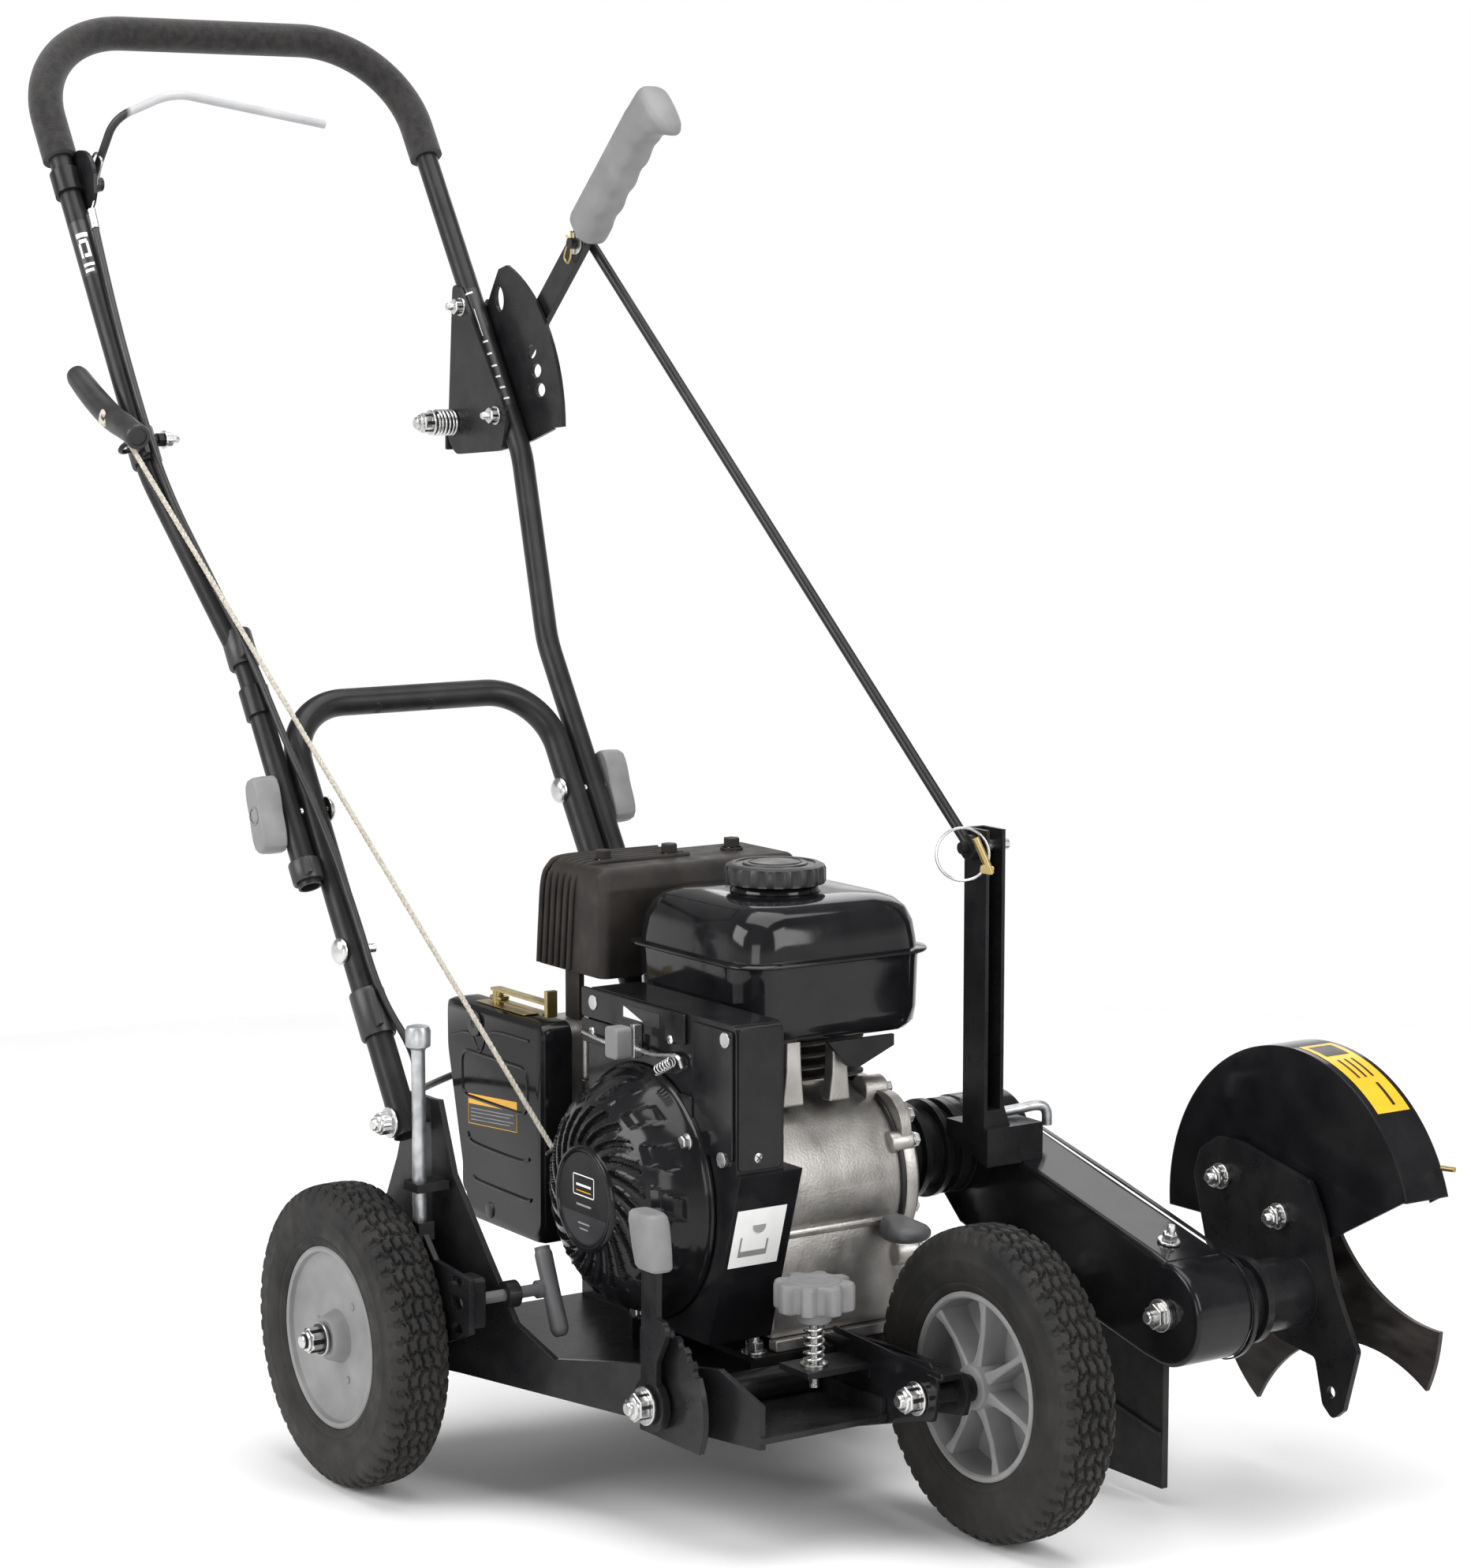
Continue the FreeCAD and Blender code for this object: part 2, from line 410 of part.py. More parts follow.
# depth lever: flat bar, grip, lock peg
LEV_A = math.atan2(ROD_Z - LEVER_Z, ROD_X - LEVER_X)
def on_lever(r):
    return LEVER_X + r * math.cos(LEV_A), LEVER_Z + r * math.sin(LEV_A)
x1, z1 = on_lever(220)
lev = slot_y(LEVER_X, LEVER_Z, x1, z1, lev_y0, lev_y0 + 5.0, 10.0)
lev = lev.cut(cyly(LEVER_X, LEVER_Z, lev_y0 - 5, lev_y0 + 10, 5.05))
lev = lev.cut(cyly(ROD_X, ROD_Z, lev_y0 - 5, lev_y0 + 10, 4.05))
xs, zs = on_lever(SLOT_R)
lev = lev.fuse(cyly(xs, zs, lev_y0 - 1.4, lev_y0, 4.0)).fuse(hexy(xs, zs, lev_y0 + 5, lev_y0 + 9, 10))
tang = slot_y(*on_lever(214), *on_lever(296), lev_y0 + 0.5, lev_y0 + 4.5, 7.0)
lev = lev.fuse(tang)
put("depth_lever", lev.removeSplitter())
g0, g1 = on_lever(228), on_lever(384)
ga = (g1[0] - g0[0], 0, g1[1] - g0[1])
gl = math.hypot(ga[0], ga[2])
gx, gz = on_lever(208)
ux, uz = math.cos(LEV_A), math.sin(LEV_A)
gr = Part.makeBox(132, 24, 30, V(0, -12, -15))
gr = fil(gr, 9.0)
gr.rotate(V(0, 0, 0), V(0, 1, 0), -math.degrees(LEV_A))
gr.translate(V(gx, lev_y0 + 2.5, gz))
hk = fil(Part.makeBox(26, 24, 40, V(106, -12, -25)), 9.0)
hk.rotate(V(0, 0, 0), V(0, 1, 0), -math.degrees(LEV_A))
hk.translate(V(gx, lev_y0 + 2.5, gz))
gr = gr.fuse(hk).removeSplitter()
cutbar = slot_y(*on_lever(180), *on_lever(220), lev_y0 - 0.05, lev_y0 + 5.05, 10.05).fuse(slot_y(*on_lever(214), *on_lever(296), lev_y0 + 0.45, lev_y0 + 4.55, 7.05))
gr = gr.cut(cutbar)
put("depth_lever_grip", gr)

# long rod from the lever to the lift arm; eye at each end
ry = lev_y0 + 5.0 + 4.5
rod_a = V(ROD_X, ry + 3.0, ROD_Z)
EYE_Y = LIFT_Y - 4.5
rod_b = V(LIFT_X, EYE_Y, LIFT_Z)
rodpin = cyly(ROD_X, ROD_Z, lev_y0 - 6.5, ry + 3.0, 4.0)
dirv = (rod_b - rod_a).normalize()
rodcyl = Part.makeCylinder(3.8, (rod_b - rod_a).Length, rod_a, dirv)
ball = Part.makeSphere(4.6, rod_a)
eye = cyly(LIFT_X, LIFT_Z, EYE_Y - 2.5, EYE_Y + 2.5, 8.5)
stub = cyly(LIFT_X, LIFT_Z, EYE_Y - 8.0, EYE_Y - 2.5, 4.0)
put("depth_rod", rodcyl.fuse([ball, rodpin, eye, stub]).removeSplitter())

# bail (engine stop lever) and its bracket
BP = (-372.0, -160.0, 868.0)
put("bail_bracket", box(-392, -345, -174.6, -171.6, 846, 892).cut(cyly(BP[0], BP[2], -190, -150, 3.05)).cut(tube(up_pts, UR, UP_D + 0.1)).common(cyly(-368, 868, -190, -150, 24)).fuse(
    tube([H(UPHI_YL, 860), H(UPHI_YL, 876)], [], UP_D + 5, UP_D + 0.05)).cut(tube(grip_pts, 78, GRIP_D + 0.8)).removeSplitter())
bl = tube([V(BP[0], -162, BP[2]), V(BP[0] + 8, -162, BP[2] + 14), V(-344, -158, 914), V(-318, -124, 932), V(-308, -8, 912)], [10, 30, 34], 6.0)
bl = bl.fuse(cyly(BP[0], BP[2], -171.4, -158.6, 5.6)).cut(cyly(BP[0], BP[2], -180, -150, 3.05))
put("bail_lever", bl)
P["bail_bracket"] = Part.makeCompound([P["bail_bracket"], cyly(BP[0], BP[2], -174.4, -156, 3.0).fuse(cyly(BP[0], BP[2], -158.4, -156, 5))])

# rope guide: wire loop clipped round the right upper tube
GZ = 690.0
gp = H(UPHI_YL, GZ)
rgc = tube([H(UPHI_YL, GZ - 8), H(UPHI_YL, GZ + 4)], [], UP_D + 4.6, UP_D + 0.05)
RX0 = V(64.0, -42.0, 222.0)
RX1 = V(gp.x + 20, UPHI_YL - 21, gp.z + 3)
rd_dir = (RX1 - RX0).normalize()
rc_c = RX1 - rd_dir * 9.0
ring = Part.makeTorus(8.0, 1.7, rc_c, rd_dir)
side = V(gp.x, UPHI_YL, gp.z - 2) - rc_c
side = (side - rd_dir * side.dot(rd_dir)).normalize()
st0 = rc_c + side * 8.0
stem = Part.makeCylinder(1.7, (V(gp.x, UPHI_YL, gp.z - 2) - st0).Length, st0, V(gp.x, UPHI_YL, gp.z - 2) - st0)
rg = ring.fuse([stem, rgc, cyly(gp.x, gp.z - 2, UPHI_YL + 9.5, UPHI_YL + 20, 3), hexy(gp.x, gp.z - 2, UPHI_YL + 13, UPHI_YL + 18, 9)]).cut(tube(up_pts, UR, UP_D + 0.05))
rope_guide = rg.removeSplitter()

# starter rope: taut from the recoil cover to the guide, and its T handle
ROPE_D = 4.0
put("starter_rope", Part.makeCylinder(ROPE_D / 2, (RX1 - RX0).Length, RX0, rd_dir))
print("rope", (RX1 - RX0).Length, "dir", tuple(round(c, 5) for c in rd_dir))
hc = RX1 + rd_dir * 13.0
hA, hB, hC = V(hc.x - 60, hc.y - 3, hc.z + 30), V(hc.x - 4, hc.y, hc.z + 1), V(hc.x + 40, hc.y - 3, hc.z - 11)
def rod2(a, b, r):
    return Part.makeCylinder(r, (b - a).Length, a, b - a)
th = rod2(hA, hB, 8.2).fuse([rod2(hB, hC, 8.2), Part.makeSphere(8.2, hB), Part.makeSphere(8.0, hA)])
th = th.cut(Part.makeCylinder(2.05, 26, RX1 - rd_dir * 1.0, rd_dir))
put("starter_handle", th.removeSplitter())

# cable clips and stop cable
clips = []
for y, z, od in ((UPHI_YL + 4.4, 645, 0), (UPLO_YL, 520, 0), (LOW_YL, 318, 1)):
    p = H(y, z)
    d0 = (UP_D if not od else LOW_D)
    clips.append(tube([H(y, z - 9), H(y, z + 9)], [], d0 + 4.4, d0 + 0.3))
clips[0] = tube([H(UPHI_YL, 672), H(UPHI_YL, 686)], [], UP_D + 4.4, UP_D + 0.05)
clips[1] = tube([H(UPLO_YL, 502), H(UPLO_YL, 520)], [], UP_D + 4.4, UP_D + 0.05)
clips[2] = tube([H(LOW_YL, 300), H(LOW_YL, 324)], [], LOW_D + 4.4, LOW_D + 0.05)
CAB_OFF = 13.6
cable_pts = [tuple(H(UPHI_YL + 6, 842, 13)), tuple(H(UPHI_YL + 1, 780, CAB_OFF)), tuple(H(UPHI_YL, 715, CAB_OFF - 0.6)), tuple(H(UPHI_YL + 1, 655, CAB_OFF)), tuple(H(UPHI_YL + 13, 598, CAB_OFF)),
             tuple(H(UPLO_YL - 2, 538, CAB_OFF)), tuple(H(UPLO_YL + 4, 480, CAB_OFF + 2)), tuple(H(UPLO_YL + 14, 425, CAB_OFF + 3)), tuple(H(LOW_YL, 370, CAB_OFF + 2.4)),
             tuple(H(LOW_YL + 1, 318, CAB_OFF + 0.6)), tuple(H(LOW_YL + 16, 284, 11.5)), (-24.0, -96.0, 254.0), (-64.0, -78.0, 243.0), (-104.0, -52.0, 236.0), (-124.0, -10.0, 240.0), (-118.0, 36.0, 252.0), (-80.0, 62.0, 262.0), (-32.0, 64.0, 266.0)]
CAB_R = auto_radii(cable_pts)
print("cable radii", [round(r, 1) for r in CAB_R])
stop_cable = tube(cable_pts, CAB_R, 5.0)
print("cable volume/expected", stop_cable.Volume / (math.pi * 6.25 * path(cable_pts, CAB_R).Length), "length", path(cable_pts, CAB_R).Length)
put("stop_cable", stop_cable)
clips = [c.cut(tube(cable_pts, CAB_R, 5.1)) for c in clips]
bail_parts = list(P.pop("bail_bracket").Solids)
put("upper_handle_fasteners", *(qb + clips[:2] + [rope_guide] + bail_parts))
put("handle_bolts", *(fast + clips[2:]))

# ---------------------------------------------------------------- engine
# crankcase with feet, side cover, cylinder with fins, rocker cover
cc = fil(rbox_y(62, 206, 36, 142, 112, 264, 26), 6.0)
feet = box(64, 206, 42, 142, 105, 113)
cc = cc.fuse(feet)
cc = cc.cut(cyly(CRANK_X, CRANK_Z, 30, 60, 11.02)).cut(cyly(CRANK_X, CRANK_Z, 120, 200, 16.0))
cavity = rbox_y(72, 196, 46, 134, 124, 254, 20)
cc = cc.cut(cavity)
put("crankcase", cc.removeSplitter())
cov = cyly(CRANK_X, CRANK_Z, 142.0, 160.0, 54.0).fuse(rbox_y(64, 204, 142.0, 150.0, 112, 262, 24)).fuse(cyly(CRANK_X, CRANK_Z, 160.0, 166.0, 36))
cov = cov.cut(cyly(CRANK_X, CRANK_Z, 130, 230, 9.57))
for bx, bz in ((76, 126), (190, 126), (76, 246), (190, 246), (196, 186), (70, 186)):
    cov = cov.fuse(cyly(bx, bz, 142.0, 154.0, 8))
put("crankcase_cover", cov.removeSplitter())
eb = []
for bx, bz in ((76, 126), (190, 126), (76, 246), (190, 246), (196, 186), (70, 186)):
    eb.append(hexy(bx, bz, 154.0, 159.5, 9).fuse(cyly(bx, bz, 154.0, 155.4, 6)))
ad = cyly(CRANK_X, CRANK_Z, 166.05, 229.0, 28.0).fuse([cyly(CRANK_X, CRANK_Z, 166.05, 174.0, 36.0), cyly(CRANK_X, CRANK_Z, 192.0, 197.0, 34.0), cyly(CRANK_X, CRANK_Z, 210.0, 215.0, 34.0), cyly(CRANK_X, CRANK_Z, 223.0, 229.0, 33.0)])
ad = ad.cut(cyly(CRANK_X, CRANK_Z, 160, 240, 13.0))
put("head_pivot_housing", ad.removeSplitter())
# cylinder leans back a little
cyl_axis = (-0.26, 0, 0.966)
cyb = Part.makeCylinder(33, 76, V(112, 112, 262), V(0, 0, 1))
fins = [rbox_z(72, 152, 74, 150, 268 + 9 * i, 271 + 9 * i, 14) for i in range(5)]
cylinder = cyb
for f in fins:
    cylinder = cylinder.fuse(f)
cylinder = cylinder.cut(cylz(112, 112, 250, 330, 26)).fuse(rbox_z(74, 150, 76, 148, 313, 321, 12))
cylinder = cylinder.common(box(0, 300, 0, 300, 264, 300))
rc = fil(rbox_z(-4, 42, 84, 140, 262, 300, 10), 3.0)
head = box(36, 80, 80, 144, 266, 300)
put("cylinder", cylinder.fuse([head, rc]).removeSplitter())
spark = (cyl((58, 64, 284), (0, 1, 0), 7.5, 15.9).fuse(cyl((58, 52, 284), (0, 1, 0), 5.5, 13.0)))
# blower housing: scroll round the crank axis plus the upper shroud and the front panel
bh_out = cyly(CRANK_X, CRANK_Z, -14.0, 34.0, 88.0).fuse(poly_y([(132, 118), (208, 118), (244, 236), (132, 236)], -14, 34)).removeSplitter()
bh_out = bh_out.fuse(rbox_y(62, 240, -14.0, 22.0, 226, 332, 8)).removeSplitter()
bh_in = cyly(CRANK_X, CRANK_Z, -30.0, 31.0, 85.0).fuse(poly_y([(132, 122), (205, 122), (240, 233), (132, 233)], -11, 31)).removeSplitter()
bh_in = bh_in.fuse(rbox_y(65, 237, -11.0, 19.0, 229, 329, 6)).removeSplitter()
bh = bh_out.cut(bh_in).cut(cyly(CRANK_X, CRANK_Z, 20, 60, 17.0))
put("blower_housing", bh.removeSplitter())
# recoil cover: domed cup with vents and a flat centre disc
RC = 81.0
rcp = rev_y([(0, -62), (31, -62), (34, -59), (52, -55), (66, -46), (75, -34), (RC, -18), (RC + 4, -14.2), (RC + 3, -14.2), (RC - 3, -17), (72, -32), (64, -43), (51, -52), (33, -56), (0, -59)], CRANK_X, CRANK_Z)
for k in range(18):
    a = 20 * k + 4
    if a % 360 in range(150, 175):
        continue
    s = slot_y(42, 0, 58, 9, -80, -10, 2.0)
    s.rotate(V(0, 0, 0), V(0, 1, 0), -a)
    s.translate(V(CRANK_X, 0, CRANK_Z))
    rcp = rcp.cut(s)
rcp = rcp.cut(Part.makeCylinder(4.2, 60, RX0 - rd_dir * 40, rd_dir))
rcp = rcp.fuse(cyly(CRANK_X, CRANK_Z, -59.5, -36, 6.0))
put("recoil_cover", rcp)
# control panel lever slot top
put("throttle_lever", box(128, 134, -33, -14.3, 294, 318).fuse(fil(box(123, 141, -36, -22, 292, 324), 3.0)).removeSplitter())
# flywheel with fan, crankshaft, pulley
fw = cyly(CRANK_X, CRANK_Z, -6, 14, 74).cut(cyly(CRANK_X, CRANK_Z, -7, 4, 60)).cut(cyly(CRANK_X, CRANK_Z, -10, 20, 11.0))
for k in range(12):
    b = box(40, 73, -13, -5.5, -1.2, 1.2); b.rotate(V(0, 0, 0), V(0, 1, 0), 30 * k); b.translate(V(CRANK_X, 0, CRANK_Z)); fw = fw.fuse(b.cut(cyly(CRANK_X, CRANK_Z, -20, 30, 60.2)))
put("flywheel_fan", fw.removeSplitter())
cs = cyly(CRANK_X, CRANK_Z, -10, 60, 10.95).fuse([cyly(CRANK_X, CRANK_Z, 60, 66, 15), cyly(CRANK_X, CRANK_Z, 124, 130, 15), cyly(CRANK_X, CRANK_Z, 66, 124, 10), cyly(CRANK_X, CRANK_Z, 130, 276, 9.5)])
put("crankshaft", cs.removeSplitter())
def pulley(x, z, y, r, bore, w=14.0):
    return rev_y([(bore, y - w / 2), (r, y - w / 2), (r, y - w / 2 + 2), (r - 5, y - 2), (r - 5, y + 2), (r, y + w / 2 - 2), (r, y + w / 2), (bore, y + w / 2)], x, z)
PY = 259.0
put("engine_pulley", pulley(CRANK_X, CRANK_Z, PY, 19.0, 9.55))
# recoil spool inside the cover
put("recoil_spool", rev_y([(6.2, -50), (40, -50), (40, -48), (30, -47), (30, -43), (40, -42), (40, -40), (6.2, -40)], CRANK_X, CRANK_Z))
# air filter: base and cover, element, carburettor
afb = rbox_y(-96, 28, -8.9, 2, 152, 298, 8)
afc = rbox_y(-101, 33, -32, -9, 148, 302, 10)
afc = fil(afc, 5.0, lambda e: e.BoundBox.YMax < -31.9)
afc = afc.cut(rbox_y(-98, 30, -29, 0, 151, 299, 8))
put("air_filter_cover", afc)
put("air_filter_element", rbox_y(-86, 20, -27, -9.1, 164, 286, 8))
put("carburettor", afb, fil(box(-30, 30, 2.2, 44, 258, 296), 4.0).fuse(cylz(0, 24, 228, 258, 15)))
put("choke_lever", cylz(-50, -18, 302.6, 312, 4).fuse(box(-54, 22, -22, -14, 312, 314)).fuse(box(18, 22, -22, -14, 304, 322)).removeSplitter())
# muffler and guard
muf = fil(box(-34, 34, 26, 156, 340, 386), 10.0)
leg_a, leg_b = H(LOW_YR, 300), H(LOW_YR, 420)
muf = muf.cut(Part.makeCylinder(13.0, (leg_b - leg_a).Length, leg_a, leg_b - leg_a))
mg = fil(poly_y([(-46, 330), (-38, 390), (-26, 404), (38, 404), (42, 390), (42, 330)], 10, 172), 7.0, lambda e: e.BoundBox.ZMax > 331 and e.BoundBox.ZMin > 329)
mgi = poly_y([(-43, 324), (-35.5, 388), (-24, 401), (36, 401), (39, 388), (39, 324)], 13, 169)
mg = mg.cut(mgi)
for i in range(9):
    yy = 26 + i * 15.5
    mg = mg.cut(box(-60, -20, yy, yy + 4, 344, 386))
mg = mg.cut(box(-60, -14, 58, 88, 320, 376))        # relieved round the handle leg
put("muffler_guard", mg)
mgb = []
for yy in (34, 88, 140):
    mgb.append(cylz(4, yy, 404, 406, 7).fuse(Part.makeCylinder(5, 5, V(4, yy, 406))))
put("muffler", muf, box(-38, 38, 13.1, 25, 331, 335).fuse(box(-12, 6, 13.2, 17.2, 296.5, 335)).removeSplitter())
# fuel tank: lower pan, upper shell with flange
tl = fil(rbox_z(50, 196, 24, 170, 304, 358, 20), 10.0, lambda e: e.BoundBox.ZMax < 305)
tfl = rbox_z(44, 204, 18, 176, 357, 360, 22)
tu = fil(rbox_z(50, 197, 24, 170, 360, 395, 22), 14.0, lambda e: e.BoundBox.ZMin > 394)
tank = tl.fuse([tfl, tu])
tank = tank.fuse(cylz(128, 92, 390, 400, 26))
tcav = rbox_z(53, 193, 27, 167, 308, 388, 18)
tank = tank.cut(tcav).cut(cylz(128, 92, 380, 420, 22))
put("fuel_tank", tank.removeSplitter())
fc = cylz(128, 92, 400.3, 414, 33)
for k in range(16):
    a = math.radians(22.5 * k)
    fc = fc.cut(cylz(128 + 35 * math.cos(a), 92 + 35 * math.sin(a), 405, 430, 3.6))
fc = fc.fuse(cylz(128, 92, 391, 400.3, 21.5))
put("fuel_cap", fc.removeSplitter())
# dipstick in the crankcase front, inclined knob
dx, dy, dz = 213.0, 128.0, 178.0
dst = Part.makeCylinder(6.4, 18, V(198.5, dy, dz), V(1, 0, 0)).fuse(fil(Part.makeCylinder(14, 14, V(209.5, dy, dz), V(1, 0, 0)), 4.0)).fuse(box(222, 242, dy - 15, dy + 15, dz - 4, dz + 4))
put("oil_dipstick", dst.removeSplitter())
P["crankcase"] = P["crankcase"].cut(cylx(dy, dz, 185, 210, 6.5)).fuse(cylx(dy, dz, 205.5, 209.0, 12).cut(cylx(dy, dz, 190, 220, 6.5))).removeSplitter()
# engine bolts
eb += mgb
eb.append(spark)
for bx, bz in ((226, 244), (72, 322), (230, 322)):
    eb.append(cyly(bx, bz, -17.0, -14.1, 5.0))
put("engine_bolts", *eb)

# ---------------------------------------------------------------- blade head (swings about the crank axis)
ux_, uz_ = SPIN_X - CRANK_X, SPIN_Z - CRANK_Z
case = poly_y([(132, 226), (165, 221), (350, 175), (SPIN_X, 171), (SPIN_X, 101.6), (344, 104), (144, 152), (112, 180)], CASE_Y0, CASE_Y1)
case = case.fuse([cyly(CRANK_X, CRANK_Z, CASE_Y0, CASE_Y1, 34.0), cyly(SPIN_X, SPIN_Z, CASE_Y0, CASE_Y1, 34.5)]).removeSplitter()
case = fil(case, 4.0, lambda e: (e.BoundBox.YLength < 0.01))
ci = poly_y([(132, 223), (165, 218), (350, 172), (SPIN_X, 168), (SPIN_X, 104.6), (344, 107), (146, 155), (115, 183)], CASE_Y0 + 3, CASE_Y1 - 3)
ci = ci.fuse([cyly(CRANK_X, CRANK_Z, CASE_Y0 + 3, CASE_Y1 - 3, 31.0), cyly(SPIN_X, SPIN_Z, CASE_Y0 + 3, CASE_Y1 - 3, 31.5)])
case = case.cut(ci)
collar = cyly(CRANK_X, CRANK_Z, 229.3, CASE_Y0 + 1, 33.0)
case = case.fuse(collar)
case = case.cut(cyly(CRANK_X, CRANK_Z, 220, 245, 12.0))
case = case.cut(cyly(SPIN_X, SPIN_Z, CASE_Y1 - 10, CASE_Y1 + 10, 14.0)).cut(cyly(SPIN_X, SPIN_Z, CASE_Y0 - 5, CASE_Y0 + 10, 7.2))
put("belt_case", case.removeSplitter())
# lift arm welded on the case top
la = poly_x([(LIFT_Y, 222), (LIFT_Y + 22, 222), (LIFT_Y + 22, 234), (LIFT_Y + 16, 250), (LIFT_Y + 16, 436), (LIFT_Y, 436)], LIFT_X - 12, LIFT_X + 12)
la = la.cut(box(LIFT_X - 9, LIFT_X + 20, LIFT_Y + 2.6, LIFT_Y + 13.4, 246, 440))
la = la.cut(cyly(LIFT_X, LIFT_Z, LIFT_Y - 5, LIFT_Y + 30, 4.05))
foot = poly_y([(168, 222.5), (214, 208), (214, 234), (168, 234)], LIFT_Y + 0, CASE_Y0 + 18)
footc = poly_y([(120, 196), (165, 221.05), (350, 175.05), (350, 100), (120, 100)], CASE_Y0 - 0.1, CASE_Y1)
la = la.fuse(foot).cut(case).cut(footc)
put("lift_arm", la.removeSplitter())
lpin = (cyly(LIFT_X, LIFT_Z, LIFT_Y + 0.1, LIFT_Y + 26, 4.0).fuse(cyly(LIFT_X, LIFT_Z, LIFT_Y + 16.2, LIFT_Y + 18, 7)))
# v-belt
def belt(ra, rb, y0, y1):
    d = math.hypot(ux_, uz_); a = math.atan2(uz_, ux_)
    def hull(r1, r2, ya, yb):
        b = math.asin((r2 - r1) / d)
        pts = []
        for (cx, cz, r) in ((CRANK_X, CRANK_Z, r1), (SPIN_X, SPIN_Z, r2)):
            for sg in (1, -1):
                t = a + sg * (math.pi / 2 + b)
                pts.append((cx + r * math.cos(t), cz + r * math.sin(t)))
        poly = poly_y([pts[0], pts[2], pts[3], pts[1]], ya, yb)
        return poly.fuse([cyly(CRANK_X, CRANK_Z, ya, yb, r1), cyly(SPIN_X, SPIN_Z, ya, yb, r2)])
    return hull(ra + 4.6, rb + 4.6, y0, y1).cut(hull(ra, rb, y0 - 1, y1 + 1))
put("drive_belt", belt(14.2, 21.2, PY - 1.9, PY + 1.9).removeSplitter())
# bearing housing with guard mounting plate
gp_pts = [(262, 196), (268, 214), (286, 226), (310, 226), (378, 212), (390, 190), (402, 150), (420, 118), (426, 108), (414, 66), (404, 58), (394, 66), (386, 96), (350, 100), (322, 118), (300, 132), (276, 150)]
gpl = poly_y(gp_pts, 346, 350)
gpl = fil(gpl, 5.0, lambda e: abs(e.BoundBox.YLength - 4.0) < 0.01)
gpl = gpl.cut(cyly(402, 76, 340, 360, 4))
bhs = cyly(SPIN_X, SPIN_Z, CASE_Y1 + 0.05, 346, 24.0).fuse(gpl).fuse(cyly(SPIN_X, SPIN_Z, 300, 306, 29))
bhs = bhs.cut(cyly(SPIN_X, SPIN_Z, 270, 300.0, 16.0)).cut(cyly(SPIN_X, SPIN_Z, 299, 336, 12.0)).cut(cyly(SPIN_X, SPIN_Z, 335.0, 360, 16.0))
GB = ((292, 200), (350, 184), (338, 115))
for bx, bz in GB:
    bhs = bhs.cut(cyly(bx, bz, 340, 360, 3.1))
put("bearing_housing", bhs.removeSplitter())
put("spindle_bearings", rev_y([(8.02, 286), (15.95, 286), (15.95, 299.9), (8.02, 299.9)], SPIN_X, SPIN_Z), rev_y([(8.02, 335.1), (15.95, 335.1), (15.95, 349), (8.02, 349)], SPIN_X, SPIN_Z))
# guard: near plate, rim and far lip
GC = (345.5, 176.5)
GR = 119.0
def gshape(r, y0, y1):
    s = cyly(GC[0], GC[1], y0, y1, r)
    cut = poly_y([(GC[0] - 170, GC[1] - 200), (GC[0] + 200, GC[1] - 200), (GC[0] + 200, GC[1] + 40), (456, 212), (392, 176), (352, 168), (223, 166), (GC[0] - 170, 166)], y0 - 1, y1 + 1)
    return s.cut(cut)
guard = gshape(GR, GUARD_Y0, GUARD_Y1)
guard = guard.cut(gshape(GR - 2.5, GUARD_Y0 + 2.5, GUARD_Y1 + 1)).cut(poly_y([(200, 60), (470, 60), (470, 208), (392, 174), (352, 165.9), (200, 163.9)], GUARD_Y0 + 2.5, GUARD_Y1 + 1))
lip = gshape(GR, GUARD_Y1 - 2.5, GUARD_Y1).cut(gshape(GR - 16, GUARD_Y1 - 4, GUARD_Y1 + 1))
guard = guard.fuse(lip)
guard = guard.cut(cyly(SPIN_X, SPIN_Z, 340, 371, 40))
for bx, bz in GB[:2]:
    guard = guard.cut(cyly(bx, bz, 340, 370, 3.1))
put("blade_guard", guard.removeSplitter())
# head bolts: guard bolts and the case bolts
hb = []
for bx, bz in GB[:2]:
    hb.append(cyly(bx, bz, 338, 362, 3.0).fuse([hexy(bx, bz, 339, 345.8, 13), cyly(bx, bz, 343.8, 345.9, 8.5), hexy(bx, bz, 357.6, 361, 11)]))
hb.append(cyly(338, 115, 338, 356, 3.0).fuse([hexy(338, 115, 339, 345.8, 12), cyly(338, 115, 343.8, 345.9, 7.5), hexy(338, 115, 350.1, 354, 11)]))
hb.append(hexy(SPIN_X, SPIN_Z, 227.5, 233.2, 13, 10).fuse([cyly(SPIN_X, SPIN_Z, 233.2, 234.9, 10.5), cyly(SPIN_X, SPIN_Z, 225, 234, 4.5)]))
hb.append(lpin)
# spacers between plate and guard
hb += [cyly(bx, bz, 350.1, 354.9, 7).cut(cyly(bx, bz, 345, 360, 3.1)) for bx, bz in GB[:2]]
put("head_bolts", *hb)
# rubber flap and its clamp strip under the case
fl = poly_y([(262, 12), (344, 12), (344, 103.6), (262, 123.3)], 252, 257)
put("debris_flap", fl)


# blade group
bs = cyly(SPIN_X, SPIN_Z, 243, 386, 8.0).fuse([cyly(SPIN_X, SPIN_Z, 350.4, BLADE_Y - BLADE_T / 2, 19), hexy(SPIN_X, SPIN_Z, BLADE_Y + 4, BLADE_Y + 11, 17)])
bs = bs.fuse(cyly(SPIN_X, SPIN_Z, BLADE_Y + BLADE_T / 2, BLADE_Y + 4, 18))
put("blade_spindle", bs.removeSplitter())
put("blade_pulley", pulley(SPIN_X, SPIN_Z, PY, 26.0, 8.02))
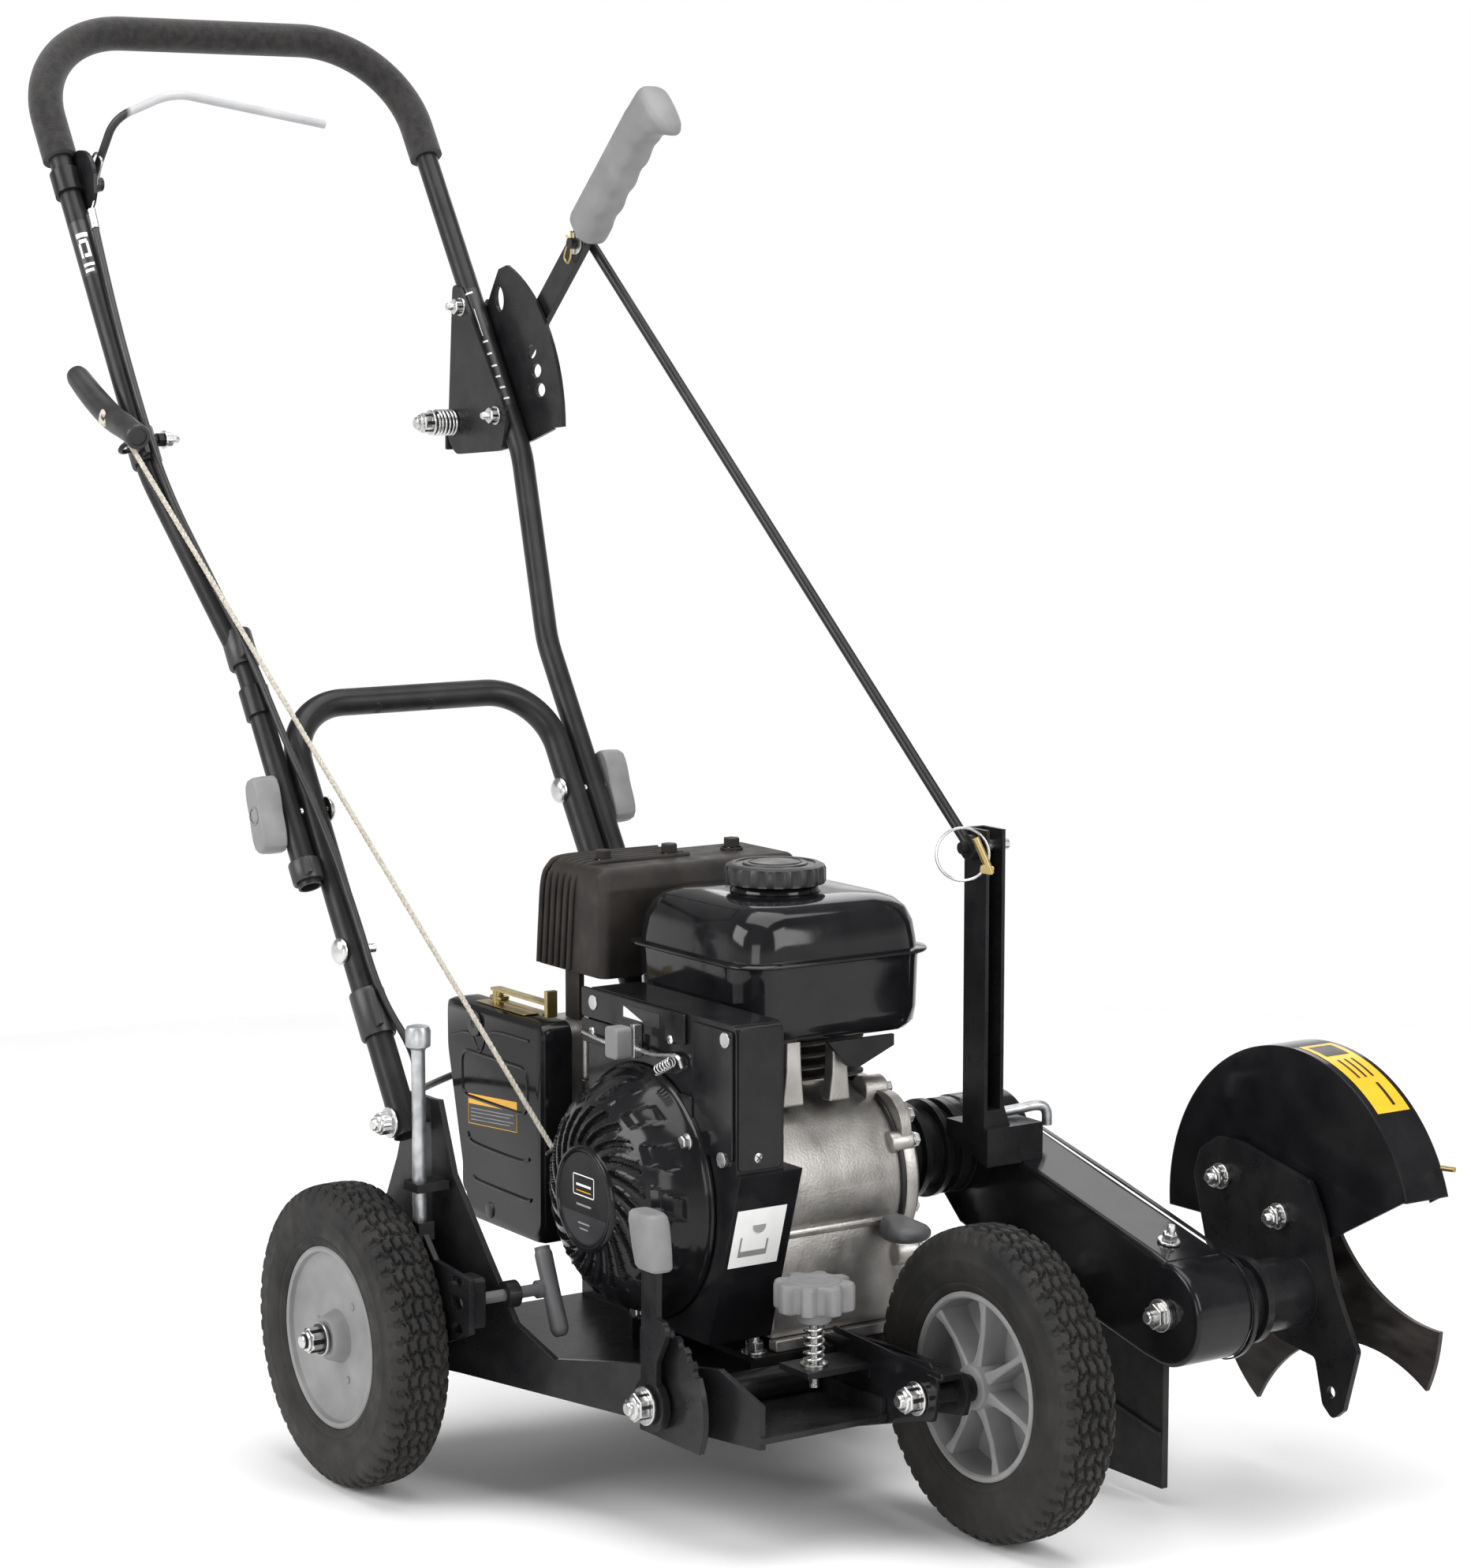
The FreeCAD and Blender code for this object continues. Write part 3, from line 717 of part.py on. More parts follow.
# three-armed blade with concave sides
bd = cyly(SPIN_X, SPIN_Z, BLADE_Y - BLADE_T / 2, BLADE_Y + BLADE_T / 2, BLADE_R)
tips = [-15.0, -135.0, 105.0]
for k in range(3):
    a = math.radians(tips[k] + 60)
    half = math.radians(120 / 2) - math.asin(21.5 / BLADE_R)
    # circle through both tip corners and 37 mm from the centre
    cx, s = BLADE_R * math.cos(half), BLADE_R * math.sin(half)
    m = 37.0
    # centre on the bisector at distance D: (D-m)^2 = (D-cx)^2 + s^2
    D = (cx * cx + s * s - m * m) / (2 * (cx - m))
    r = D - m
    bd = bd.cut(cyly(SPIN_X + D * math.cos(a), SPIN_Z + D * math.sin(a), BLADE_Y - 5, BLADE_Y + 5, r))
bd = bd.cut(cyly(SPIN_X, SPIN_Z, BLADE_Y - 9, BLADE_Y + 9, 8.05))
sol = sorted(bd.Solids, key=lambda s_: -s_.Volume)[0]
put("blade", sol)

# ---------------------------------------------------------------- export
allb = Part.makeCompound([s for n, s in P.items()])
bb = allb.BoundBox
OX, OY, OZ = (bb.XMin + bb.XMax) / 2, (bb.YMin + bb.YMax) / 2, bb.ZMin
print("SHIFT", OX, OY, OZ, "SIZE", bb.XLength, bb.YLength, bb.ZLength, "NODES", len(P))
for n, s in P.items():
    s = s.copy()
    s.translate(V(-OX, -OY, -OZ))
    bad = "" if s.isValid() else "  INVALID"
    print("%-22s solids %d vol %.0f%s" % (n, len(s.Solids), s.Volume, bad))
    s.exportStep("parts/%s.step" % n)
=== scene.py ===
import bpy, bmesh, math, random
from mathutils import Vector, Matrix

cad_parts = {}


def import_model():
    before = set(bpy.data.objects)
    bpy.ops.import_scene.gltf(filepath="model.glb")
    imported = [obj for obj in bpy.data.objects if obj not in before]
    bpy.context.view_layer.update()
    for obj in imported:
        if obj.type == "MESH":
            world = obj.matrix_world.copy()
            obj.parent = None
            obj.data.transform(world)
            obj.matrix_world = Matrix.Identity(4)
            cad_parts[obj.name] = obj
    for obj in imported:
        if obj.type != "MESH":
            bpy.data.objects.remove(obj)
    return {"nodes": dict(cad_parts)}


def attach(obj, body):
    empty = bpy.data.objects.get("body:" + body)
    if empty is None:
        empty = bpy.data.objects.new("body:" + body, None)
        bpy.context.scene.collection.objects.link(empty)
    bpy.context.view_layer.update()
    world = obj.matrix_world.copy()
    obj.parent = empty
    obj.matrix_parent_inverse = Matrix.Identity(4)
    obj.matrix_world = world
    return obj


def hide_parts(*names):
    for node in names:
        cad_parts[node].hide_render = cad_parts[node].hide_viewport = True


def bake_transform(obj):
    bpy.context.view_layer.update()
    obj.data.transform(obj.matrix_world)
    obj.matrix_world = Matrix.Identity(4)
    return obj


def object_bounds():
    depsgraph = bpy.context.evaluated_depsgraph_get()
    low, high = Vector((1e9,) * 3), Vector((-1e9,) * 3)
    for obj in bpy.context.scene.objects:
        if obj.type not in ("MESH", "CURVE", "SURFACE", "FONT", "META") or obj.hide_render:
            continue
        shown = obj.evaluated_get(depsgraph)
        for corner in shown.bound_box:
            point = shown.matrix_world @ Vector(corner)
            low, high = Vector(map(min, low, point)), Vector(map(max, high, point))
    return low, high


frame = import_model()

cad_box = [[float(c) for c in p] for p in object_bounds()]
random.seed(4)
pi = math.pi
NODES = frame["nodes"]

# working frame of the design: millimetres, X from the rear axle, Y from the middle, Z from the ground
OX, OY = 7.174593, 86.597906
def W(x, y, z):
    return Vector(((x - OX) / 1000.0, (y - OY) / 1000.0, z / 1000.0))

LEAN = 0.6346
def H(y, z, off=0.0):
    n = 1.0 / math.sqrt(1 + LEAN * LEAN)
    return (-100 - LEAN * (z - 440) + off * n, y, z + off * LEAN * n)

# ------------------------------------------------------------------ camera, floor, light
scene = bpy.context.scene
cam_data = bpy.data.cameras.new("view_camera")
cam_data.lens = 88.456
cam_data.sensor_width = 36.0
cam_data.sensor_height = 36.0
cam_data.sensor_fit = "AUTO"
cam_data.clip_start = 0.05
cam_data.clip_end = 40
cam = bpy.data.objects.new("view_camera", cam_data)
cam.location = W(2222.257, -1344.475, 792.587)
cam.rotation_euler = (math.radians(90 - 7.31), 0, math.radians(56.15))
scene.collection.objects.link(cam)
scene.camera = cam

def light(name, loc, target, size, power, color=(1, 1, 1)):
    d = bpy.data.lights.new(name, "AREA")
    d.shape = "RECTANGLE"
    d.size, d.size_y = size
    d.energy = power
    d.color = color
    o = bpy.data.objects.new(name, d)
    o.location = loc
    o.rotation_euler = (Vector(target) - Vector(loc)).to_track_quat("-Z", "Y").to_euler()
    scene.collection.objects.link(o)
    return o

light("softbox_left", (-0.4, -2.6, 1.9), (0, 0, 0.4), (1.8, 1.6), 62)
light("softbox_right", (2.9, 0.9, 1.7), (0, 0, 0.35), (1.4, 1.8), 50)
light("softbox_top", (0.2, 0.1, 2.9), (0, 0, 0.3), (2.4, 2.4), 70)
light("softbox_front", (2.3, -2.3, 0.9), (0, 0, 0.4), (1.2, 1.2), 16)
light("softbox_back", (-1.9, 2.0, 1.8), (0, 0, 0.5), (1.6, 1.6), 14)

world = bpy.data.worlds.new("studio")
scene.world = world
world.use_nodes = True
bg = world.node_tree.nodes["Background"]
bg.inputs[0].default_value = (1.0, 1.0, 1.0, 1)
# white at and below eye level, dimmer overhead so that black paint keeps its depth
wn, wl = world.node_tree.nodes, world.node_tree.links
w_tc = wn.new("ShaderNodeTexCoord"); w_sx = wn.new("ShaderNodeSeparateXYZ"); w_mr = wn.new("ShaderNodeMapRange")
w_mr.inputs["From Min"].default_value = 0.085; w_mr.inputs["From Max"].default_value = 0.24
w_mr.inputs["To Min"].default_value = 1.0; w_mr.inputs["To Max"].default_value = 0.30
wl.new(w_tc.outputs["Generated"], w_sx.inputs[0]); wl.new(w_sx.outputs["Z"], w_mr.inputs["Value"]); wl.new(w_mr.outputs["Result"], bg.inputs[1])
scene.view_settings.view_transform = "Standard"
scene.view_settings.look = "None"

# ------------------------------------------------------------------ materials
MATS = {}
def material(name, c0, c1, rough=(0.35, 0.5), metal=0.0, scale=40.0, bump=0.05, bscale=600.0, dist=0.0004,
             coat=0.0, sheen=0.0, spec=0.5, edge=0.0, alpha=None, stretch=None, dust=0.0, bias=(0.35, 0.7)):
    m = bpy.data.materials.new(name)
    m.use_nodes = True
    nt = m.node_tree
    N, L = nt.nodes, nt.links
    b = N["Principled BSDF"]
    b.inputs["Metallic"].default_value = metal
    b.inputs["Coat Weight"].default_value = coat
    b.inputs["Coat Roughness"].default_value = 0.08
    b.inputs["Sheen Weight"].default_value = sheen
    b.inputs["Specular IOR Level"].default_value = spec
    tc = N.new("ShaderNodeTexCoord")
    src = tc.outputs["Object"]
    if stretch:
        mp = N.new("ShaderNodeMapping")
        mp.inputs["Scale"].default_value = stretch
        L.new(src, mp.inputs["Vector"]); src = mp.outputs["Vector"]
    n1 = N.new("ShaderNodeTexNoise"); n1.inputs["Scale"].default_value = scale; n1.inputs["Detail"].default_value = 6
    L.new(src, n1.inputs["Vector"])
    r1 = N.new("ShaderNodeValToRGB")
    r1.color_ramp.elements[0].position = bias[0]; r1.color_ramp.elements[0].color = (*c0, 1)
    r1.color_ramp.elements[1].position = bias[1]; r1.color_ramp.elements[1].color = (*c1, 1)
    L.new(n1.outputs["Fac"], r1.inputs["Fac"])
    col = r1.outputs["Color"]
    if dust:
        sx = N.new("ShaderNodeSeparateXYZ"); L.new(tc.outputs["Object"], sx.inputs[0])
        mr = N.new("ShaderNodeMapRange")
        mr.inputs["From Min"].default_value = 0.0; mr.inputs["From Max"].default_value = 0.22
        mr.inputs["To Min"].default_value = dust; mr.inputs["To Max"].default_value = 0.0
        L.new(sx.outputs["Z"], mr.inputs["Value"])
        n4 = N.new("ShaderNodeTexNoise"); n4.inputs["Scale"].default_value = 18; n4.inputs["Detail"].default_value = 8
        L.new(tc.outputs["Object"], n4.inputs["Vector"])
        mu = N.new("ShaderNodeMath"); mu.operation = "MULTIPLY"
        L.new(mr.outputs["Result"], mu.inputs[0]); L.new(n4.outputs["Fac"], mu.inputs[1])
        mx = N.new("ShaderNodeMixRGB"); mx.inputs["Color2"].default_value = (0.22, 0.2, 0.17, 1)
        L.new(mu.outputs[0], mx.inputs["Fac"]); L.new(col, mx.inputs["Color1"]); col = mx.outputs["Color"]
    L.new(col, b.inputs["Base Color"])
    n2 = N.new("ShaderNodeTexNoise"); n2.inputs["Scale"].default_value = scale * 2.3; n2.inputs["Detail"].default_value = 4
    L.new(src, n2.inputs["Vector"])
    r2 = N.new("ShaderNodeMapRange")
    r2.inputs["From Min"].default_value = 0.3; r2.inputs["From Max"].default_value = 0.7
    r2.inputs["To Min"].default_value = rough[0]; r2.inputs["To Max"].default_value = rough[1]
    L.new(n2.outputs["Fac"], r2.inputs["Value"]); L.new(r2.outputs["Result"], b.inputs["Roughness"])
    n3 = N.new("ShaderNodeTexNoise"); n3.inputs["Scale"].default_value = bscale; n3.inputs["Detail"].default_value = 3
    L.new(src, n3.inputs["Vector"])
    bp = N.new("ShaderNodeBump"); bp.inputs["Strength"].default_value = bump; bp.inputs["Distance"].default_value = dist
    L.new(n3.outputs["Fac"], bp.inputs["Height"])
    if edge:
        be = N.new("ShaderNodeBevel"); be.samples = 4; be.inputs["Radius"].default_value = edge
        L.new(be.outputs["Normal"], bp.inputs["Normal"])
    L.new(bp.outputs["Normal"], b.inputs["Normal"])
    MATS[name] = m
    return m

M_BLACK = material("powder_black", (0.008, 0.008, 0.009), (0.017, 0.017, 0.018), (0.24, 0.36), bump=0.10, bscale=420, spec=0.20, coat=0.06, edge=0.0009)
M_TUBE = material("tube_black", (0.010, 0.010, 0.010), (0.020, 0.019, 0.019), (0.30, 0.42), bump=0.10, bscale=500, spec=0.22, coat=0.02)
M_CASE = material("case_black_gloss", (0.006, 0.006, 0.007), (0.012, 0.012, 0.013), (0.10, 0.20), bump=0.05, bscale=160, dist=0.0006, spec=0.20, coat=0.16, edge=0.0015)
M_SHELL = material("shell_gloss_black", (0.006, 0.006, 0.007), (0.011, 0.011, 0.012), (0.12, 0.22), bump=0.04, bscale=220, spec=0.20, coat=0.13, edge=0.0012)
M_TANK = material("tank_enamel", (0.005, 0.005, 0.006), (0.010, 0.010, 0.011), (0.07, 0.15), bump=0.05, bscale=60, dist=0.0010, spec=0.20, coat=0.22, edge=0.0015)
M_HEAT = material("heatproof_black", (0.013, 0.0105, 0.009), (0.027, 0.022, 0.019), (0.50, 0.66), spec=0.3, bump=0.22, bscale=700, edge=0.0010)
M_GREY = material("knob_grey_plastic", (0.165, 0.165, 0.168), (0.215, 0.215, 0.218), (0.46, 0.60), bump=0.16, bscale=900, edge=0.0010)
M_DGREY = material("dark_grey_plastic", (0.075, 0.075, 0.078), (0.11, 0.11, 0.115), (0.42, 0.56), bump=0.16, bscale=900, edge=0.0010)
M_RIM = material("rim_grey_plastic", (0.185, 0.185, 0.187), (0.245, 0.245, 0.247), (0.42, 0.56), bump=0.12, bscale=800, edge=0.0008, dust=0.25)
M_TYRE = material("tyre_rubber", (0.010, 0.010, 0.010), (0.022, 0.021, 0.020), (0.55, 0.75), bump=0.30, bscale=520, dust=0.10, spec=0.22)
M_FOAM = material("foam_grip_black", (0.010, 0.009, 0.009), (0.026, 0.024, 0.023), (0.80, 0.95), bump=0.75, bscale=950, dist=0.0006, scale=160, sheen=0.25, spec=0.25)
M_RUBBER = material("flap_rubber", (0.012, 0.012, 0.012), (0.024, 0.023, 0.022), (0.55, 0.72), bump=0.20, bscale=380, spec=0.3)
M_ALU = material("cast_aluminium", (0.33, 0.315, 0.30), (0.52, 0.50, 0.475), (0.34, 0.52), metal=0.92, bump=0.40, bscale=520, dist=0.0005, scale=30, edge=0.0012)
M_ZINC = material("zinc_plated", (0.55, 0.55, 0.55), (0.74, 0.73, 0.71), (0.20, 0.36), metal=1.0, bump=0.08, bscale=300, scale=70, edge=0.0006)
M_GALV = material("galvanised_rod", (0.36, 0.37, 0.38), (0.55, 0.56, 0.57), (0.32, 0.50), metal=0.9, bump=0.14, bscale=200, scale=120, edge=0.0008)
M_STEEL = material("blade_steel", (0.040, 0.035, 0.033), (0.090, 0.080, 0.075), (0.30, 0.50), metal=0.85, bump=0.20, bscale=160, scale=22, stretch=(1, 1, 3), edge=0.0006)
M_YZ = material("yellow_zinc", (0.36, 0.27, 0.11), (0.56, 0.44, 0.20), (0.26, 0.40), metal=0.95, bump=0.06, bscale=300, edge=0.0006)
M_ROPE = material("rope_braid", (0.36, 0.33, 0.27), (0.60, 0.56, 0.48), (0.75, 0.92), bump=0.55, bscale=1600, scale=500, sheen=0.3, spec=0.2)
M_PLAST = material("satin_black_plastic", (0.012, 0.012, 0.012), (0.024, 0.023, 0.023), (0.34, 0.48), bump=0.14, bscale=850, edge=0.0008)
M_FILTER = material("filter_foam", (0.03, 0.03, 0.03), (0.07, 0.07, 0.07), (0.85, 0.95), bump=0.9, bscale=500, scale=300)
M_WHITE = material("label_white", (0.78, 0.78, 0.77), (0.86, 0.86, 0.85), (0.30, 0.42), bump=0.03, bscale=300)
M_YELLOW = material("label_yellow", (0.86, 0.42, 0.015), (0.95, 0.50, 0.03), (0.28, 0.40), bump=0.03, bscale=300)
M_LBLACK = material("label_black", (0.010, 0.010, 0.010), (0.016, 0.016, 0.016), (0.30, 0.42), bump=0.03, bscale=300)
M_LGREY = material("label_grey", (0.22, 0.22, 0.22), (0.30, 0.30, 0.30), (0.32, 0.45), bump=0.03, bscale=300)
M_FLOOR = material("floor_pale", (0.86, 0.86, 0.86), (0.90, 0.90, 0.90), (0.55, 0.7), bump=0.02, bscale=30, scale=2)

# bail: pale coated rod that turns black near its pivot
def bail_material():
    m = material("bail_coated", (0.36, 0.36, 0.37), (0.44, 0.44, 0.45), (0.36, 0.5), bump=0.06, bscale=500)
    nt = m.node_tree; N, L = nt.nodes, nt.links
    b = N["Principled BSDF"]
    tc = N.new("ShaderNodeTexCoord"); sx = N.new("ShaderNodeSeparateXYZ"); L.new(tc.outputs["Object"], sx.inputs[0])
    mr = N.new("ShaderNodeMapRange")
    mr.inputs["From Min"].default_value = W(0, -152, 0).y; mr.inputs["From Max"].default_value = W(0, -149, 0).y
    L.new(sx.outputs["Y"], mr.inputs["Value"])
    old = b.inputs["Base Color"].links[0].from_socket
    mx = N.new("ShaderNodeMixRGB"); mx.inputs["Color1"].default_value = (0.015, 0.015, 0.015, 1)
    L.new(mr.outputs["Result"], mx.inputs["Fac"]); L.new(old, mx.inputs["Color2"]); L.new(mx.outputs["Color"], b.inputs["Base Color"])
    return m
M_BAIL = bail_material()

def give(m, *nodes):
    for n in nodes:
        o = NODES[n]
        o.data.materials.clear()
        o.data.materials.append(m)

give(M_BLACK, "frame", "depth_quadrant", "depth_lever", "depth_rod", "curb_wheel_carrier", "front_arm", "height_lever", "lift_arm", "bearing_housing")
give(M_TUBE, "lower_handle", "upper_handle")
give(M_CASE, "belt_case", "blade_guard")
give(M_HEAT, "muffler", "muffler_guard")
give(M_TANK, "fuel_tank")
give(M_BAIL, "bail_lever")
give(M_SHELL, "recoil_cover", "blower_housing", "air_filter_cover")
give(M_PLAST, "fuel_cap", "stop_cable", "starter_handle", "recoil_spool")
give(M_GREY, "wing_knob_right", "wing_knob_left", "star_knob", "depth_lever_grip", "height_lever_grip", "throttle_lever", "oil_dipstick")
give(M_RIM, "wheel_rim_rear_right", "wheel_rim_rear_left", "wheel_rim_front")
give(M_TYRE, "tyre_rear_right", "tyre_rear_left", "tyre_front")
give(M_FOAM, "foam_grip")
give(M_RUBBER, "drive_belt", "debris_flap")
give(M_ALU, "crankcase", "crankcase_cover", "cylinder", "carburettor", "flywheel_fan", "engine_pulley", "blade_pulley")
give(M_BLACK, "head_pivot_housing", "upper_handle_fasteners")
give(M_ZINC, "handle_bolts", "engine_bolts", "head_bolts", "spindle_bearings", "crankshaft", "blade_spindle")
give(M_STEEL, "blade")
give(M_DGREY, "pull_pin")
give(M_YZ, "choke_lever")
give(M_ROPE, "starter_rope")
give(M_FILTER, "air_filter_element")

# ------------------------------------------------------------------ mesh helpers (all points in working mm)
def obj(name, verts, faces, mat, body, smooth=True, bevel=0.0, subsurf=0, angle=40):
    me = bpy.data.meshes.new(name)
    me.from_pydata([tuple(W(*v)) for v in verts], [], faces)
    me.validate(); me.update()
    bm = bmesh.new(); bm.from_mesh(me)
    bmesh.ops.recalc_face_normals(bm, faces=bm.faces)
    bm.to_mesh(me); bm.free()
    o = bpy.data.objects.new(name, me)
    scene.collection.objects.link(o)
    me.materials.append(mat)
    if smooth:
        me.polygons.foreach_set("use_smooth", [True] * len(me.polygons))
        if angle:
            me.set_sharp_from_angle(angle=math.radians(angle))
    if bevel:
        b = o.modifiers.new("bevel", "BEVEL"); b.width = bevel / 1000; b.segments = 3; b.limit_method = "ANGLE"; b.angle_limit = math.radians(30)
        b.harden_normals = True
    if subsurf:
        s = o.modifiers.new("sub", "SUBSURF"); s.levels = subsurf; s.render_levels = subsurf
    if body:
        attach(o, body)
    return o

def frame_at(a, d):
    d = Vector(d).normalized()
    u = d.orthogonal().normalized()
    return Vector(a), u, d.cross(u).normalized(), d

def lathe(prof, c, axis, seg=64, closed=True, mod=None):
    """prof: (radius, along). Returns verts, faces, turned about axis through c."""
    c, u, v, d = frame_at(c, axis)
    V_, F_ = [], []
    n = len(prof)
    for i in range(seg):
        a = 2 * pi * i / seg
        for k, (r, h) in enumerate(prof):
            rr = r if mod is None else mod(r, h, a, k)
            V_.append(tuple(c + (u * math.cos(a) + v * math.sin(a)) * rr + d * h))
    m = n if closed else n - 1
    for i in range(seg):
        j = (i + 1) % seg
        for k in range(m):
            l = (k + 1) % n
            F_.append((i * n + k, j * n + k, j * n + l, i * n + l))
    return V_, F_

def tube_mesh(pts, r, seg=12, caps=True, radii=None):
    """mesh tube through points (parallel transport)."""
    pts = [Vector(p) for p in pts]
    V_, F_ = [], []
    t0 = (pts[1] - pts[0]).normalized()
    u = t0.orthogonal().normalized()
    n = len(pts)
    for i, p in enumerate(pts):
        t = (pts[min(i + 1, n - 1)] - pts[max(i - 1, 0)]).normalized()
        u = (u - t * u.dot(t)).normalized()
        v = t.cross(u)
        rr = r if radii is None else radii[i]
        for k in range(seg):
            a = 2 * pi * k / seg
            V_.append(tuple(p + (u * math.cos(a) + v * math.sin(a)) * rr))
    for i in range(n - 1):
        for k in range(seg):
            l = (k + 1) % seg
            F_.append((i * seg + k, i * seg + l, (i + 1) * seg + l, (i + 1) * seg + k))
    if caps:
        F_.append(tuple(range(seg - 1, -1, -1))); F_.append(tuple((n - 1) * seg + k for k in range(seg)))
    return V_, F_

def wire(name, pts, r, mat, body, seg=10, smooth_pts=0, closed=False):
    if smooth_pts:
        pts = catmull(pts, smooth_pts, closed)
    if closed:
        pts = list(pts) + [pts[0], pts[1]]
    v, f = tube_mesh(pts, r, seg)
    return obj(name, v, f, mat, body)

def catmull(pts, k, closed=False):
    P = [Vector(p) for p in pts]
    out = []
    n = len(P)
    rng = range(n) if closed else range(n - 1)
    for i in rng:
        p0 = P[(i - 1) % n] if closed or i > 0 else P[0] * 2 - P[1]
        p1, p2 = P[i], P[(i + 1) % n]
        p3 = P[(i + 2) % n] if closed or i + 2 < n else p2 * 2 - p1
        for s in range(k):
            t = s / k
            out.append(0.5 * ((2 * p1) + (p2 - p0) * t + (2 * p0 - 5 * p1 + 4 * p2 - p3) * t * t + (3 * p1 - p0 - 3 * p2 + p3) * t ** 3))
    if not closed:
        out.append(P[-1])
    return out

def helix(name, a, b, R, r, turns, mat, body, seg=9):
    a, u, v, d = frame_at(a, Vector(b) - Vector(a))
    Ln = (Vector(b) - a).length
    n = int(turns * 20)
    pts = []
    for i in range(n + 1):
        t = i / n
        # closed end turns
        h = Ln * (0.5 - 0.5 * math.cos(pi * t)) * 0.25 + Ln * t * 0.75
        an = 2 * pi * turns * t
        pts.append(a + (u * math.cos(an) + v * math.sin(an)) * R + d * h)
    vv, ff = tube_mesh(pts, r, seg)
    return obj(name, vv, ff, mat, body)

def prism(name, pts, c, ax, up, depth, mat, body, bevel=0.8, smooth=True):
    """2D polygon pts (s, t) in the plane with normal ax at c, s along up x ax ... extruded by depth along ax."""
    ax = Vector(ax).normalized(); up = Vector(up).normalized(); s = up.cross(ax).normalized()
    c = Vector(c)
    n = len(pts)
    V_ = [tuple(c + s * p[0] + up * p[1]) for p in pts] + [tuple(c + s * p[0] + up * p[1] + ax * depth) for p in pts]
    F_ = [tuple(range(n)), tuple(range(2 * n - 1, n - 1, -1))] + [(i, (i + 1) % n, n + (i + 1) % n, n + i) for i in range(n)]
    return obj(name, V_, F_, mat, body, smooth=smooth, bevel=bevel, angle=35)

def rrect(w, h, r, seg=5):
    out = []
    for cx, cy, a0 in ((w / 2 - r, h / 2 - r, 0), (-w / 2 + r, h / 2 - r, 90), (-w / 2 + r, -h / 2 + r, 180), (w / 2 - r, -h / 2 + r, 270)):
        for k in range(seg + 1):
            a = math.radians(a0 + 90 * k / seg)
            out.append((cx + r * math.cos(a), cy + r * math.sin(a)))
    return out

def ngon(n, r, ph=0.0):
    return [(r * math.cos(ph + 2 * pi * k / n), r * math.sin(ph + 2 * pi * k / n)) for k in range(n)]

def hexbolt(name, c, d, af, h, mat, body, washer=0.0, stud=0.0, nyloc=False):
    """nut or bolt head at c, growing along d."""
    d = Vector(d).normalized(); c = Vector(c)
    up = d.orthogonal()
    R = af / 2 / math.cos(pi / 6)
    if washer:
        v, f = lathe([(af * 0.30, 0), (washer, 0), (washer, 1.3), (washer * 0.96, 1.6), (af * 0.30, 1.6)], c, d, 40)
        obj(name + "_washer", v, f, mat, body, bevel=0.2)
        c = c + d * 1.6
    prism(name, ngon(6, R, 0.3), c, d, up, h, mat, body, bevel=0.7)
    if nyloc:
        v, f = lathe([(0.1, h - 0.2), (af * 0.46, h - 0.2), (af * 0.46, h + 1.6), (af * 0.40, h + 2.4), (0.1, h + 2.4)], c, d, 32)
        obj(name + "_collar", v, f, mat, body)
    if stud:
        v, f = lathe([(0.1, h), (stud, h), (stud, h + 4.6), (stud * 0.8, h + 5.4), (0.1, h + 5.4)], c, d, 24)
        obj(name + "_stud", v, f, mat, body)

floor_me = bpy.data.meshes.new("floor")
floor_me.from_pydata([(0.15 + 1.75 * math.cos(2 * pi * k / 128), 1.75 * math.sin(2 * pi * k / 128), 0) for k in range(128)], [], [tuple(range(128))])
floor = bpy.data.objects.new("floor", floor_me); floor_me.materials.append(M_FLOOR)
scene.collection.objects.link(floor)
floor.location.z = cad_box[0][2] - 0.0002

